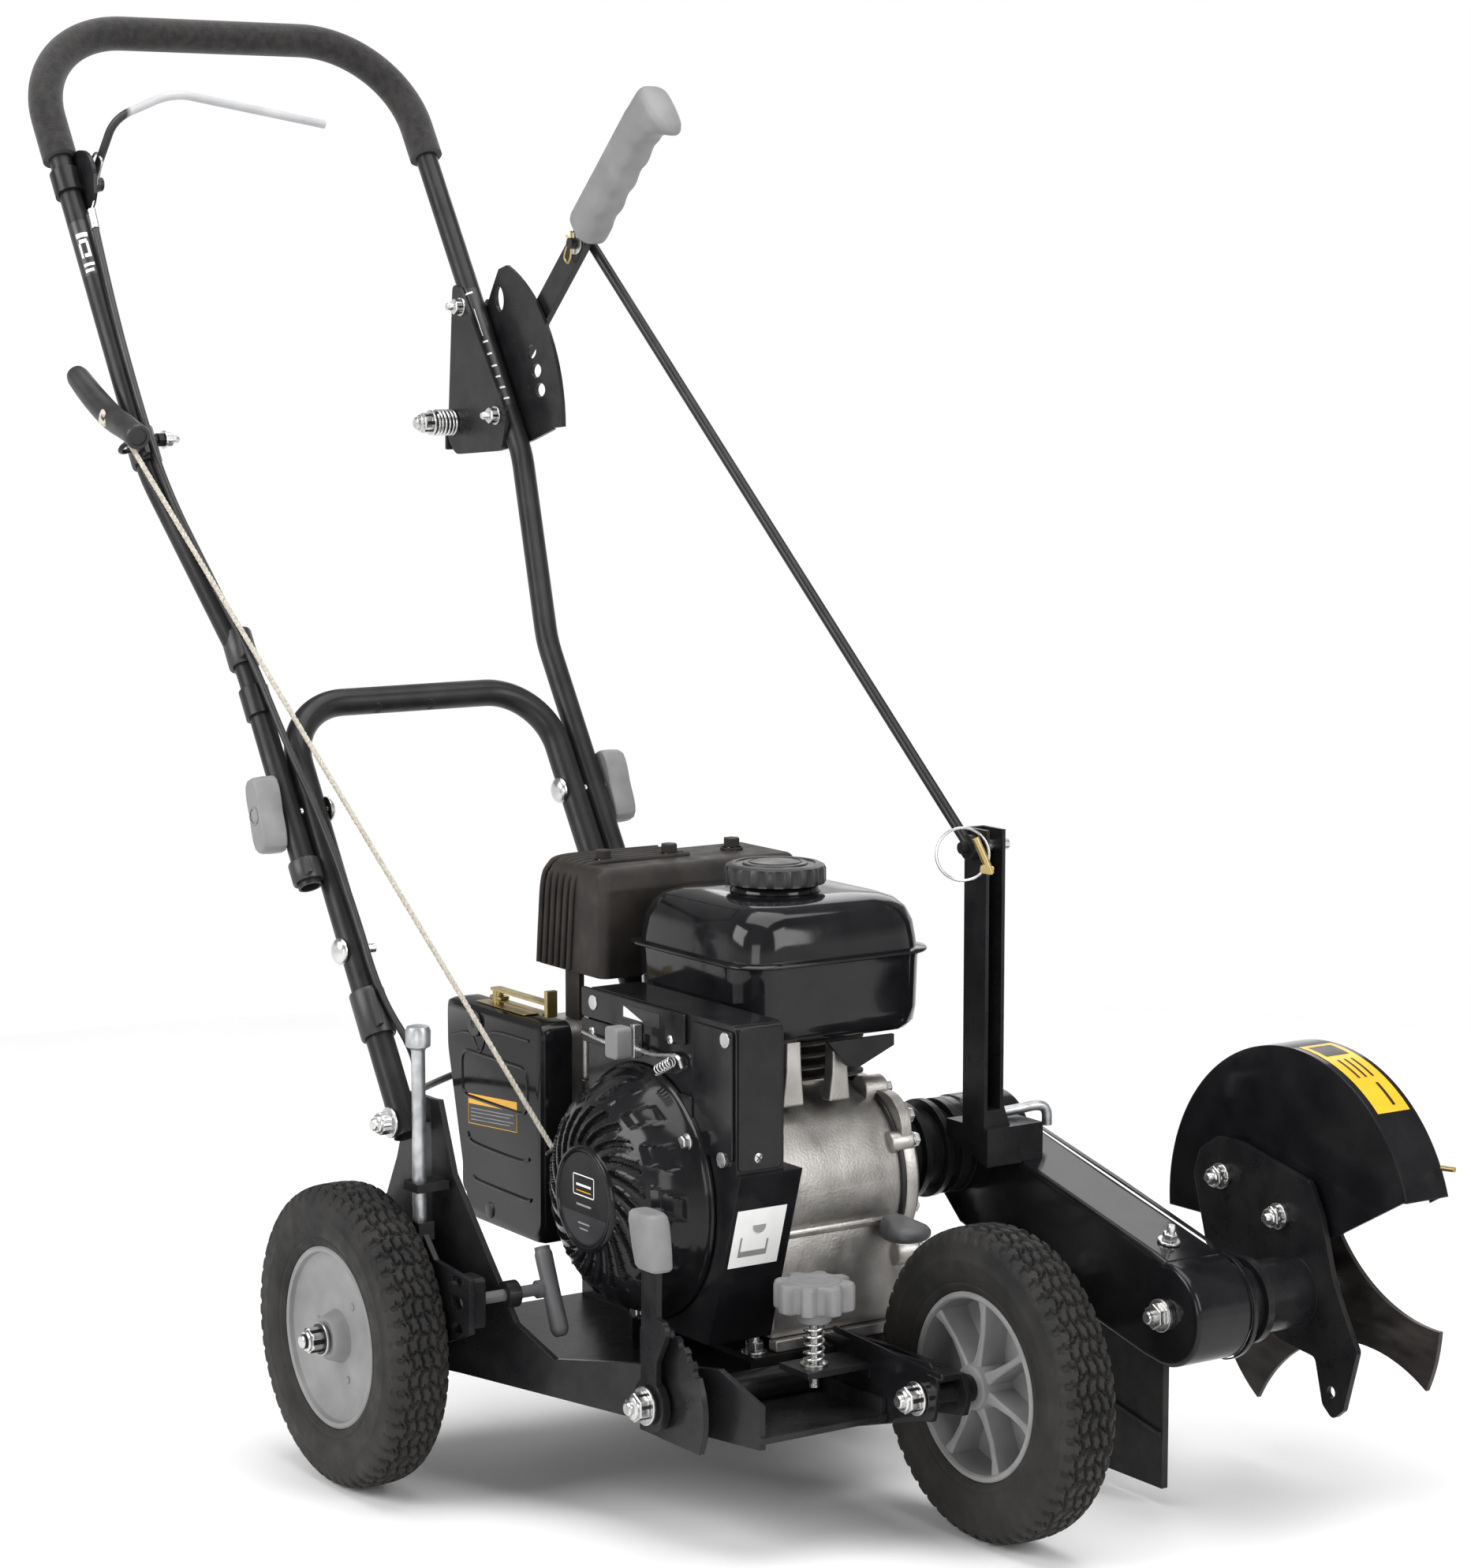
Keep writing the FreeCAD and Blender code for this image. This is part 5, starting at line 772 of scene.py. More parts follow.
def star():
    seg = 160
    V_, F_ = [], []
    st = [(149.0, 0.90), (150.2, 0.985), (152, 1.0), (165.0, 1.0), (167.2, 0.97), (168.2, 0.90)]
    for z, q in st:
        for k in range(seg):
            a = 2 * pi * k / seg
            r = 23.2 + 3.0 * max(-1, min(1, 1.5 * math.cos(8 * a)))
            V_.append((266 + r * q * math.cos(a), 28 + r * q * math.sin(a), z))
    for i in range(len(st) - 1):
        for k in range(seg):
            l = (k + 1) % seg
            F_.append((i * seg + k, i * seg + l, (i + 1) * seg + l, (i + 1) * seg + k))
    F_.append(tuple(range(seg))); F_.append(tuple((len(st) - 1) * seg + k for k in range(seg)))
    o = obj("star_knob_head", V_, F_, M_GREY, "star", angle=35)
    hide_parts("star_knob")
    v, f = lathe([(0.1, 167.0), (9.0, 168.3), (10.0, 168.9), (16.5, 168.9), (17.5, 168.3), (17.5, 167.2)], (266, 28, 0), (0, 0, 1), 64)
    obj("star_knob_cap", v, f, M_GREY, "star")
    v, f = lathe([(0.1, 150.5), (11.5, 149.6), (11.0, 142.0), (9.6, 140.8), (0.1, 140.8)], (266, 28, 0), (0, 0, 1), 48)
    obj("star_knob_boss", v, f, M_GREY, "star")
    # threaded screw
    pr = [(0.1, 98.2)]
    z = 98.2
    while z < 141:
        pr += [(2.75, z), (3.2, z + 0.45)]
        z += 0.9
    pr += [(3.2, 141.2), (0.1, 141.2)]
    v, f = lathe(pr, (266, 28, 0), (0, 0, 1), 24)
    obj("star_knob_screw", v, f, M_ZINC, "star")
    helix("arm_spring", (266, 28, 114.5), (266, 28, 139.6), 6.3, 1.0, 5.5, M_ZINC, "arm")
    v, f = lathe([(3.6, 113.05), (9.0, 113.05), (9.0, 114.4), (3.6, 114.4)], (266, 28, 0), (0, 0, 1), 32)
    obj("arm_spring_washer", v, f, M_ZINC, "arm")
star()

# ------------------------------------------------------------------ recoil cover
CX, CZ = 132.0, 206.0
def recoil():
    seg = 480
    prof = [(84.8, -14.4), (84.0, -16.6), (81.5, -18.2), (79.6, -22.0), (77.6, -28.0), (75.0, -34.0), (71.5, -40.0), (67.5, -45.0), (64.5, -47.4), (61.5, -49.6),
            (58.0, -52.0), (55.0, -53.8), (52.0, -55.2), (49.0, -56.4), (46.0, -57.4), (43.0, -58.2), (40.0, -58.8), (37.5, -59.2), (35.6, -59.6), (34.8, -61.6), (33.8, -62.2), (32.2, -62.2), (31.4, -61.0), (0.1, -61.0)]
    # refine
    fine = []
    for i in range(len(prof) - 1):
        (r0, h0), (r1, h1) = prof[i], prof[i + 1]
        m = 2 if 36 < r1 < 82 else 1
        for s in range(m):
            t = s / m
            fine.append((r0 + (r1 - r0) * t, h0 + (h1 - h0) * t))
    fine.append(prof[-1])
    V_, F_ = [], []
    n = len(fine)
    for i in range(seg):
        a = 2 * pi * i / seg
        for r, h in fine:
            dep = 0.0
            if 37.2 < r < 59.5:
                tw = a + (r - 38) * 0.020
                ph = (tw * 22 / (2 * pi)) % 1.0
                if ph < 0.42:
                    dep = 3.6
                elif ph < 0.56:
                    dep = -0.9
            elif 64.0 < r < 76.0:
                tw = a + (r - 64) * 0.012
                ph = (tw * 14 / (2 * pi)) % 1.0
                if 0.18 < ph < 0.62:
                    dep = 2.2
                elif 0.10 < ph < 0.70:
                    dep = -0.8
            V_.append((CX + r * math.cos(a), h + dep, CZ + r * math.sin(a)))
    for i in range(seg):
        j = (i + 1) % seg
        for k in range(n - 1):
            F_.append((i * n + k, i * n + k + 1, j * n + k + 1, j * n + k))
    # dark inner side so that the shell has thickness
    o = obj("recoil_cover_vented", V_, F_, M_SHELL, "chassis", angle=40)
    s = o.modifiers.new("wall", "SOLIDIFY"); s.thickness = 0.0018; s.offset = -1
    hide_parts("recoil_cover")
    # centre disc with plain generic marks
    v, f = lathe([(0.1, 61.35), (30.6, 61.35), (30.9, 61.0), (30.9, 60.4), (0.1, 60.4)], (CX, 0, CZ), (0, -1, 0), 96)
    obj("recoil_disc_label", v, f, M_LBLACK, "chassis")
    for nm, x0, x1, z0, z1, m in (("top", -13, 13, 15.0, 15.8, M_WHITE), ("bottom", -13, 13, 1.6, 2.4, M_WHITE), ("left", -13, -12.2, 1.6, 15.8, M_WHITE), ("right", 12.2, 13, 1.6, 15.8, M_WHITE), ("bar", -9, 9, 8.0, 9.6, M_WHITE), ("line", -9, 9, 4.6, 5.2, M_YELLOW), ("bar2", -9, 9, -5.0, -3.6, M_LGREY), ("bar3", -7, 7, -17, -15.8, M_LGREY), ("bar4", -5, 5, -20.6, -19.6, M_LGREY)):
        flat = [(CX + x0, -61.5, CZ + z0), (CX + x1, -61.5, CZ + z0), (CX + x1, -61.5, CZ + z1), (CX + x0, -61.5, CZ + z1)]
        obj("disc_mark_" + nm, flat, [(0, 1, 2, 3)], m, "chassis", angle=0)
    # lower half of the disc in a second tone
    pts = [(CX + 29.5 * math.cos(math.radians(t)), -61.42, CZ + 29.5 * math.sin(math.radians(t))) for t in range(200, 341, 5)]
    obj("disc_lower_tone", pts, [tuple(range(len(pts)))], material("label_charcoal", (0.028, 0.028, 0.03), (0.045, 0.045, 0.048), (0.3, 0.4), bump=0.02), "chassis", angle=0)
    # rope eyelet and fixing screws
    v, f = lathe([(3.2 + 1.6 + 1.5 * math.cos(t), 1.5 * math.sin(t)) for t in [2 * pi * k / 12 for k in range(12)]], RX0 + rdir * 1.5, rdir, 32)
    obj("rope_eyelet", v, f, M_PLAST, "chassis")
    for k, a in enumerate((35, 155, 275)):
        c = (CX + 79 * math.cos(math.radians(a)), -22.6, CZ + 79 * math.sin(math.radians(a)))
        hexbolt("recoil_screw%d" % k, c, (0, -1, 0), 8.0, 4.0, M_ZINC, "chassis", washer=5.6)
recoil()

# ------------------------------------------------------------------ blower housing details
def panel(name, x0, x1, z0, z1, y, mat, body="chassis", slot="shell_black", thick=0.25, r=1.0, bevel=0.0):
    pts = [(px + (x0 + x1) / 2, pz + (z0 + z1) / 2) for px, pz in rrect(x1 - x0, z1 - z0, r)]
    V_ = [(x, y, z) for x, z in pts] + [(x, y + thick, z) for x, z in pts]
    n = len(pts)
    F_ = [tuple(range(n)), tuple(range(2 * n - 1, n - 1, -1))] + [(i, (i + 1) % n, n + (i + 1) % n, n + i) for i in range(n)]
    return obj(name, V_, F_, mat, body, angle=30, bevel=bevel)
def quad_on(name, pts, y, mat, body="chassis", slot="shell_black"):
    return obj(name, [(x, y, z) for x, z in pts], [tuple(range(len(pts)))], mat, body, angle=0)

def quad3(name, pts, mat, body="chassis"):
    return obj(name, pts, [tuple(range(len(pts)))], mat, body, angle=0)

# side face of the housing leans: point on it for a given Y and height
def side_pt(y, z, off=0.35):
    x = 208 + 36 * (z - 118) / 118.0
    return (x + off, y, z - off * 0.3)
def card(name, y0, y1, z0, z1, mat, off, skew=0.0):
    quad3(name, [side_pt(y0, z0 + skew, off), side_pt(y1, z0, off), side_pt(y1 + skew, z1, off), side_pt(y0 + skew, z1 + skew, off)], mat)
card("side_card", -11, 27, 172, 212, M_WHITE, 0.35)
# plain drawing on the card: a drop over a slanted tray, no lettering
card("card_tray", -5, 17, 179, 183, M_LGREY, 0.5)
card("card_line", -5, -3.6, 183, 193, M_LGREY, 0.5)
card("card_line2", 15.6, 17, 183, 190, M_LGREY, 0.5)
c0 = side_pt(8, 200, 0.5)
quad3("card_drop", [(c0[0], 8 + 5.0 * math.cos(t), 200 + 5.0 * math.sin(t) + (2.5 if abs(t - pi / 2) < 0.3 else 0)) for t in [2 * pi * k / 18 for k in range(18)]], M_LGREY)

# screw on the shroud, folded step, top strip
def screw(name, c, d, r, mat, body="chassis"):
    dome(name, c, d, r, r * 0.42, mat, body)
    c = Vector(c); d = Vector(d).normalized(); u = d.orthogonal().normalized(); v_ = d.cross(u)
    # painted shade: two flat black strips on the dome stand in for the shade inside the cross slot, which is not
    # modelled
    for i, (e, f_) in enumerate(((u, v_), (v_, u))):
        q = c + d * (r * 0.43)
        w = 0.35
        quad3("%s_slot%d" % (name, i), [tuple(q + e * r * 0.6 + f_ * w), tuple(q - e * r * 0.6 + f_ * w), tuple(q - e * r * 0.6 - f_ * w), tuple(q + e * r * 0.6 - f_ * w)], M_LBLACK, body)
screw("shroud_screw_a", (240.1, 2, 246), (1, 0, 0), 4.2, M_ZINC)
# raised panel of the shroud, seen from the right and from the front
prism("shroud_front_plate", rrect(33, 92, 3), (240.05, 3.5, 284), (1, 0, 0), (0, 0, 1), 1.2, M_SHELL, "chassis", bevel=0.5)
prism("shroud_side_plate", rrect(46, 84, 3), (214, -14.05, 286), (0, -1, 0), (0, 0, 1), 1.6, M_SHELL, "chassis", bevel=0.6)
prism("shroud_step", rrect(18, 34, 2), (183, -14.05, 262), (0, -1, 0), (0, 0, 1), 3.0, M_SHELL, "chassis", bevel=0.6)
prism("control_strip", rrect(126, 20, 2), (120, -14.1, 321), (0, -1, 0), (0, 0, 1), 2.2, M_SHELL, "chassis", bevel=0.5)
# scale strip for the throttle: white wedge on black
prism("scale_base", rrect(46, 9.5, 0.8), (131, -16.35, 322), (0, -1, 0), (0, 0, 1), 0.2, M_LBLACK, "chassis", bevel=0)
quad3("scale_wedge", [(110, -16.62, 318.6), (134, -16.62, 318.6), (112, -16.62, 325.4), (110, -16.62, 325.4)], M_WHITE)
# throttle bracket, spring and rod behind the tab
wire("throttle_rod", [(60, -17, 300), (92, -19, 299), (112, -19, 302), (150, -19, 300), (176, -18, 303), (182, -17, 296)], 1.6, M_ZINC, "chassis", seg=8, smooth_pts=6)
helix("governor_spring", (176, -21, 300), (158, -21, 291), 3.3, 0.6, 6, M_ZINC, "chassis")
prism("throttle_plate", rrect(70, 16, 2), (92, -15.0, 302), (0, -1, 0), (0, 0, 1), 1.2, M_BLACK, "chassis", bevel=0.3)
screw("throttle_screw_a", (70, -16.2, 302), (0, -1, 0), 3.4, M_ZINC)
screw("throttle_screw_b", (166, -16.2, 312), (0, -1, 0), 3.2, M_ZINC)
# throttle tab
pts = rrect(15, 21, 3.0)
o = prism("throttle_tab", pts, (124, -23.0, 305), (0, -1, 0), (0, 0, 1), 12.5, M_GREY, "throttle", bevel=1.4)
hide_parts("throttle_lever")
prism("throttle_stem", rrect(5, 22, 1), (131, -16.8, 306), (0, -1, 0), (0, 0, 1), 6.4, M_ZINC, "throttle", bevel=0.3)

# ------------------------------------------------------------------ air filter cover
def filter_cover():
    out = [(-101, 300), (-101, 270), (-74, 158), (-66, 149), (26, 148.5), (32, 156), (33, 296), (28, 301.5), (-94, 302)]
    V_, F_ = [], []
    lay = [(-9.2, 1.0), (-26.0, 1.0), (-30.0, 0.985), (-31.9, 0.94)]
    cx, cz = -30, 228
    n = len(out)
    # round the corners of the outline
    pts = []
    for i in range(n):
        p0, p1, p2 = Vector(out[i - 1]), Vector(out[i]), Vector(out[(i + 1) % n])
        a = p1 + (p0 - p1).normalized() * min(6, (p0 - p1).length * 0.4)
        b = p1 + (p2 - p1).normalized() * min(6, (p2 - p1).length * 0.4)
        for t in (0, 0.25, 0.5, 0.75, 1):
            pts.append((1 - t) ** 2 * a + 2 * t * (1 - t) * p1 + t * t * b)
    n = len(pts)
    for y, q in lay:
        for p in pts:
            V_.append((cx + (p[0] - cx) * q, y, cz + (p[1] - cz) * q))
    for i in range(len(lay) - 1):
        for k in range(n):
            l = (k + 1) % n
            F_.append((i * n + k, i * n + l, (i + 1) * n + l, (i + 1) * n + k))
    F_.append(tuple(range(n))); F_.append(tuple(3 * n + k for k in range(n - 1, -1, -1)))
    o = obj("filter_cover_shell", V_, F_, M_SHELL, "chassis", bevel=0.5, angle=28)
    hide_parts("air_filter_cover")
    def rib(name, pts, r=1.5, closed=False):
        wire(name, [(x, -31.6, z) for x, z in pts], r, M_SHELL, "chassis", seg=10, smooth_pts=5, closed=closed)
    def rr(x0, x1, z0, z1, r):
        return [((x0 + x1) / 2 + a, (z0 + z1) / 2 + b) for a, b in rrect(x1 - x0, z1 - z0, r, 3)]
    wire("filter_rib_panel", [(x, -31.4, z) for x, z in rr(-77, 12, 236, 268, 8)], 1.6, M_SHELL, "chassis", seg=10, closed=True)
    rib("filter_rib_low", [(-70, 210), (-60, 204), (0, 203), (14, 206)])
    rib("filter_rib_low2", [(-62, 180), (-52, 178), (6, 177), (16, 178)])
    rib("filter_rib_top", [(-90, 276), (-66, 281), (-52, 270), (-36, 286), (14, 288)], 1.3)
    # knob that holds the cover and a lower screw
    v, f = lathe([(0.1, 31.9), (8.6, 31.9), (9.2, 33.0), (8.6, 33.9)] + [(3.0, 33.95), (2.6, 33.2), (0.1, 33.2)], (-58, 0, 289), (0, -1, 0), 40, mod=lambda r, h, a, k: r)
    obj("filter_knob", v, f, M_PLAST, "chassis")
    dome("filter_foot_screw", (-40, -31.8, 160), (0, -1, 0), 6.0, 1.8, M_PLAST, "chassis")
    # plain label: yellow band over a black field with faint lines
    quad3("filter_label_field", [(-68, -32.06, 217), (-2, -32.06, 222), (-2, -32.06, 243), (-68, -32.06, 238)], M_LBLACK)
    quad3("filter_label_band", [(-68, -32.12, 231), (-2, -32.12, 236), (-2, -32.12, 243), (-68, -32.12, 238)], M_YELLOW)
    for i in range(4):
        z = 227.6 - 2.6 * i
        quad3("filter_label_line%d" % i, [(-65, -32.12, z), (-7 - 5 * (i % 2), -32.12, z + 4.6), (-7 - 5 * (i % 2), -32.12, z + 5.3), (-65, -32.12, z + 0.7)], M_LGREY)
    for i, (a, b) in enumerate((((-68, 217), (-2, 222)), ((-68, 238), (-68, 217)), ((-2, 243), (-2, 222)))):
        wire("filter_label_edge%d" % i, [(a[0], -32.1, a[1]), (b[0], -32.1, b[1])], 0.28, M_YELLOW, "chassis", seg=6)
filter_cover()
# choke linkage: bent yellow strips on top
prism("choke_strip", [(-34, -3.2), (30, -3.2), (38, -6.5), (41, -6.5), (41, 4.5), (30, 3.2), (-34, 3.2), (-40, 0)], (-24, -17, 304.8), (0, 0, 1), (0, 1, 0), 1.0, M_YZ, "choke", bevel=0.25)
prism("choke_tab", rrect(14, 9, 2), (-50, -17, 305.8), (0, 0, 1), (0, 1, 0), 2.4, M_YZ, "choke", bevel=0.5)
prism("choke_base", rrect(66, 15, 2), (-36, -18, 302.2), (0, 0, 1), (0, 1, 0), 0.5, M_YZ, "chassis", bevel=0.1)

# ------------------------------------------------------------------ muffler guard ribs on the near face and top, bolts
for i in range(6):
    x = -38 + i * 8.0
    wire("guard_rib%d" % i, [(x - 3, 9.6, 331), (x, 9.4, 360), (x + 3.0, 9.8, 388), (x + 6.5, 12.5, 399), (x + 8, 22, 404.2), (x + 8, 60, 404.5), (x + 8, 100, 404.3)], 2.1, M_HEAT, "chassis", seg=10, smooth_pts=6)
for i, y in enumerate((34, 88, 140)):
    hexbolt("guard_bolt%d" % i, (4, y, 404.4), (0, 0, 1), 10.5, 6.5, M_HEAT, "chassis", washer=8.0)
prism("muffler_strut", rrect(9, 40, 1), (-12, 20, 312), (0, -1, 0), (0, 0, 1), 3, M_ZINC, "chassis", bevel=0.5)

# ------------------------------------------------------------------ fuel tank: seam flange and shading creases
def tank():
    def ring(x0, x1, y0, y1, r, z, n=6):
        return [((x0 + x1) / 2 + a, (y0 + y1) / 2 + b, z) for a, b in rrect(x1 - x0, y1 - y0, r, n)]
    lay = [ring(66, 184, 40, 158, 20, 303.8), ring(57, 192, 31, 165, 23, 305.6), ring(52.5, 195.5, 26.5, 169.5, 25, 310.5), ring(50.5, 197, 24.5, 171, 26, 320), ring(49.5, 198, 23.5, 172, 27, 352), ring(49, 198.5, 23, 172.5, 27, 356.4),
           ring(44.5, 203.5, 18.5, 175.5, 28, 357.2), ring(44, 204, 18, 176, 28, 358.2), ring(44.5, 203.5, 18.5, 175.5, 28, 359.4), ring(49.5, 198, 23.5, 171, 27, 360.2), ring(50, 197.5, 24, 170.5, 27, 366),
           ring(51.5, 196, 25.5, 169, 27, 377), ring(55, 192.5, 29, 165.5, 27, 386), ring(61, 186.5, 35, 159.5, 25, 391.6), ring(70, 178, 44, 151, 22, 394.6), ring(92, 160, 66, 130, 16, 395.6)]
    n = len(lay[0])
    V_ = [p for l in lay for p in l]
    F_ = []
    for i in range(len(lay) - 1):
        for k in range(n):
            l = (k + 1) % n
            F_.append((i * n + k, i * n + l, (i + 1) * n + l, (i + 1) * n + k))
    F_.append(tuple(range(n - 1, -1, -1))); F_.append(tuple((len(lay) - 1) * n + k for k in range(n)))
    o = obj("fuel_tank_shell", V_, F_, M_TANK, "chassis", angle=55)
    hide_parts("fuel_tank")
    v, f = lathe([(20, 390), (29, 393), (30.5, 396.5), (29.0, 399.6), (27.4, 400.1), (20, 400.1)], (128, 92, 0), (0, 0, 1), 64)
    obj("fuel_neck", v, f, M_TANK, "chassis")
tank()
def cap():
    def mod(r, h, a, k):
        if r > 30 and 401.5 < h < 412.5:
            return r - 1.7 * max(0.0, min(1.0, 0.5 + 1.6 * math.sin(18 * a)))
        return r
    v, f = lathe([(0.1, 400.5), (27, 400.4), (33.4, 401.2), (34.0, 402.2), (34.0, 410.6), (33.0, 412.8), (30.2, 414.2), (27.0, 414.4), (26.4, 413.4), (22.0, 413.2), (21.4, 414.6), (14.0, 415.2), (0.1, 415.4)], (128, 92, 0), (0, 0, 1), 216, closed=False, mod=mod)
    o = obj("fuel_cap_ribbed", v, f, M_PLAST, "cap", angle=35)
    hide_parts("fuel_cap")
    v, f = lathe([(16.6, 414.9), (17.4, 415.5), (18.2, 414.9)], (128, 92, 0), (0, 0, 1), 64)
    obj("fuel_cap_ring", v, f, M_PLAST, "cap")
cap()
# bracket under the tank and the two cast struts
quadv = [(192, 88, 303.6), (192, 142, 303.6), (192, 142, 296), (192, 113, 284), (192, 104, 286)]
V_ = quadv + [(x + 3, y, z) for x, y, z in quadv]
obj("tank_bracket", V_, [(0, 1, 2, 3, 4), (9, 8, 7, 6, 5)] + [(i, (i + 1) % 5, 5 + (i + 1) % 5, 5 + i) for i in range(5)], M_BLACK, "chassis", bevel=0.4)
for i, (y, zt, zb) in enumerate(((66, 308, 262), (103, 300, 262))):
    prism("cast_strut%d" % i, [(-5.5, 0), (5.5, 0), (6.5, -(zt - zb) * 0.5), (8.5, -(zt - zb)), (-8.5, -(zt - zb)), (-6.0, -(zt - zb) * 0.5)], (178, y, zt), (1, 0, 0), (0, 0, 1), 10, M_ALU, "chassis", bevel=1.4)
# dark cooling fins seen under the tank
for i in range(4):
    v_ = 272 + 8 * i
    prism("cyl_fin%d" % i, rrect(92, 70, 12), (118, 110, v_), (0, 0, 1), (0, 1, 0), 2.2, M_HEAT, "chassis", bevel=0.4)

# ------------------------------------------------------------------ crankcase: round barrel on a square foot
def crankcase():
    prof = [(66, 113.5), (203, 113.5), (205, 120), (205, 178)]
    for t in range(-18, 199, 4):
        prof.append((144 + 62 * math.cos(math.radians(t)), 203 + 62 * math.sin(math.radians(t))))
    prof += [(66, 180)]
    V_ = []
    secs = [(36.5, 0.985), (38.5, 1.0), (139.0, 1.0), (141.8, 0.99)]
    for y, q in secs:
        V_ += [(144 + (x - 144) * q, y, 190 + (z - 190) * q) for x, z in prof]
    n = len(prof)
    F_ = [tuple(range(n)), tuple(3 * n + k for k in range(n - 1, -1, -1))]
    for i in range(3):
        for k in range(n):
            l = (k + 1) % n
            F_.append((i * n + k, (i + 1) * n + k, (i + 1) * n + l, i * n + l))
    o = obj("crankcase_barrel", V_, F_, M_ALU, "chassis", angle=25, bevel=0.8)
    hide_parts("crankcase")
    # seam rib between barrel and foot, foot flange
    prism("crankcase_seam", rrect(102, 3.4, 1.2), (205, 89, 181), (1, 0, 0), (0, 0, 1), 1.6, M_ALU, "chassis", bevel=0.5)
    prism("crankcase_foot", rrect(102, 7.5, 1.5), (200, 89, 109.2), (1, 0, 0), (0, 0, 1), 8.5, M_ALU, "chassis", bevel=0.7)
    # blower side flange: its profile is computed but no object is built from it; then bosses with bolts
    v, f = lathe([(40, -36.6), (66, -36.6), (67.5, -38), (67.5, -41), (66, -42.5), (62, -43), (60.5, -48)], (144, 0, 203), (0, -1, 0), 96, closed=False)
    for i, (x, z, r) in enumerate(((166, 261, 8.0), (198, 231, 6.0), (204, 158, 7.5), (124, 262, 7.0))):
        v, f = lathe([(0.1, 134), (r + 1.0, 134), (r + 1.6, 135), (r + 1.6, 151), (r + 0.6, 152.4), (0.1, 152.4)], (x, 0, z), (0, 1, 0), 40)
        obj("case_boss%d" % i, v, f, M_ALU, "chassis", angle=35)
        hexbolt("case_boss_bolt%d" % i, (x, 152.4, z), (0, 1, 0), 8.6, 5.0, M_ZINC, "chassis", washer=6.2)
    v, f = lathe([(58, 140.2), (64.6, 140.2), (65.4, 141.2), (65.4, 142.2), (64.6, 143.2), (58, 143.2)], (144, 0, 203), (0, 1, 0), 128)
    obj("case_gasket", v, f, M_LBLACK, "chassis")
    v, f = lathe([(30, 143.2), (64.0, 143.2), (64.8, 145), (64.8, 152), (62, 155), (50, 157.5), (44, 164), (30, 164.5)], (144, 0, 203), (0, 1, 0), 128)
    obj("case_cover_round", v, f, M_ALU, "chassis", angle=35)
crankcase()
# dipstick knob: flat paddle on a collar
V_, F_ = [], []
seg = 36
pad = []
for x, hy, hz in ((209.4, 7.5, 7.5), (211, 9.0, 9.0), (216, 9.5, 9.5), (221, 10.5, 9.0), (227, 13.6, 7.6), (234, 14.6, 6.6), (239, 12.6, 5.6), (241.6, 8.6, 4.2)):
    pad.append((x, hy, hz))
for x, hy, hz in pad:
    for k in range(seg):
        a = 2 * pi * k / seg; ca, sa = math.cos(a), math.sin(a)
        V_.append((x, 128 + hy * (abs(ca) ** 0.8) * (1 if ca > 0 else -1), 178 + hz * (abs(sa) ** 0.8) * (1 if sa > 0 else -1)))
for i in range(len(pad) - 1):
    for k in range(seg):
        l = (k + 1) % seg
        F_.append((i * seg + k, i * seg + l, (i + 1) * seg + l, (i + 1) * seg + k))
F_.append(tuple(range(seg))); F_.append(tuple((len(pad) - 1) * seg + k for k in range(seg)))
o = obj("dipstick_paddle", V_, F_, M_DGREY, "dip", angle=60)
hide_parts("oil_dipstick")

# ------------------------------------------------------------------ lift arm pin: ring, tail; L rod; belt case nuts
rc = Vector((205, 190, 421)); nrm = Vector((0.80, -0.55, 0.10)).normalized(); u = nrm.orthogonal().normalized(); v_ = nrm.cross(u)
wire("lynch_ring", [tuple(rc + (u * math.cos(t) + v_ * math.sin(t)) * 17.5) for t in [2 * pi * k / 40 for k in range(40)]], 1.0, M_ZINC, "head", seg=8, closed=True)
v, f = tube_mesh([(211, 196, 432), (213, 199, 424), (215, 203, 414), (216, 205, 408)], 2.6, 16)
obj("lynch_pin", v, f, M_YZ, "head")
prism("lynch_tab", rrect(9, 6, 1.5), (214, 203, 411), (1, -0.4, 0), (0, 0.2, 1), 3, M_YZ, "head", bevel=0.6)
wire("head_l_rod", [(186, 226, 237), (190, 250, 239), (192, 266, 240), (193.5, 272, 236), (194, 272.5, 226)], 3.6, M_GALV, "head", seg=14, smooth_pts=6)
hexbolt("spindle_rear_nut", (363, 233.0, 136), (0, -1, 0), 15.0, 5.4, M_ZINC, "head", washer=11.0, stud=4.2)
hexbolt("case_top_bolt", (343, 256, 177.2), (0.24, 0, 0.97), 9.0, 5.0, M_ZINC, "head", washer=7.6, stud=2.8)
# folded lid edge round the belt case
def lid():
    pts = []
    for t in range(100, -81, -6):
        pts.append((363 + 35.2 * math.cos(math.radians(t)), 136 + 35.2 * math.sin(math.radians(t))))
    top = [(165, 221.6), (260, 198.2), (350, 175.9)]
    low = [(344, 103.4), (250, 126), (144, 151.4)]
    line_ = top + pts + low
    V_, F_ = [], []
    for x, z in line_:
        d = Vector((x - 255, z - 160)).normalized()
        for y, o_ in ((281.0, 0.0), (281.0, 1.3), (284.6, 1.3), (284.6, 0.0)):
            V_.append((x + d.x * o_, y, z + d.y * o_))
    n = len(line_)
    for i in range(n - 1):
        for k in range(4):
            l = (k + 1) % 4
            F_.append((i * 4 + k, i * 4 + l, (i + 1) * 4 + l, (i + 1) * 4 + k))
    F_.append((3, 2, 1, 0)); F_.append(tuple((n - 1) * 4 + k for k in range(4)))
    obj("case_lid_edge", V_, F_, M_CASE, "head", angle=35)
lid()
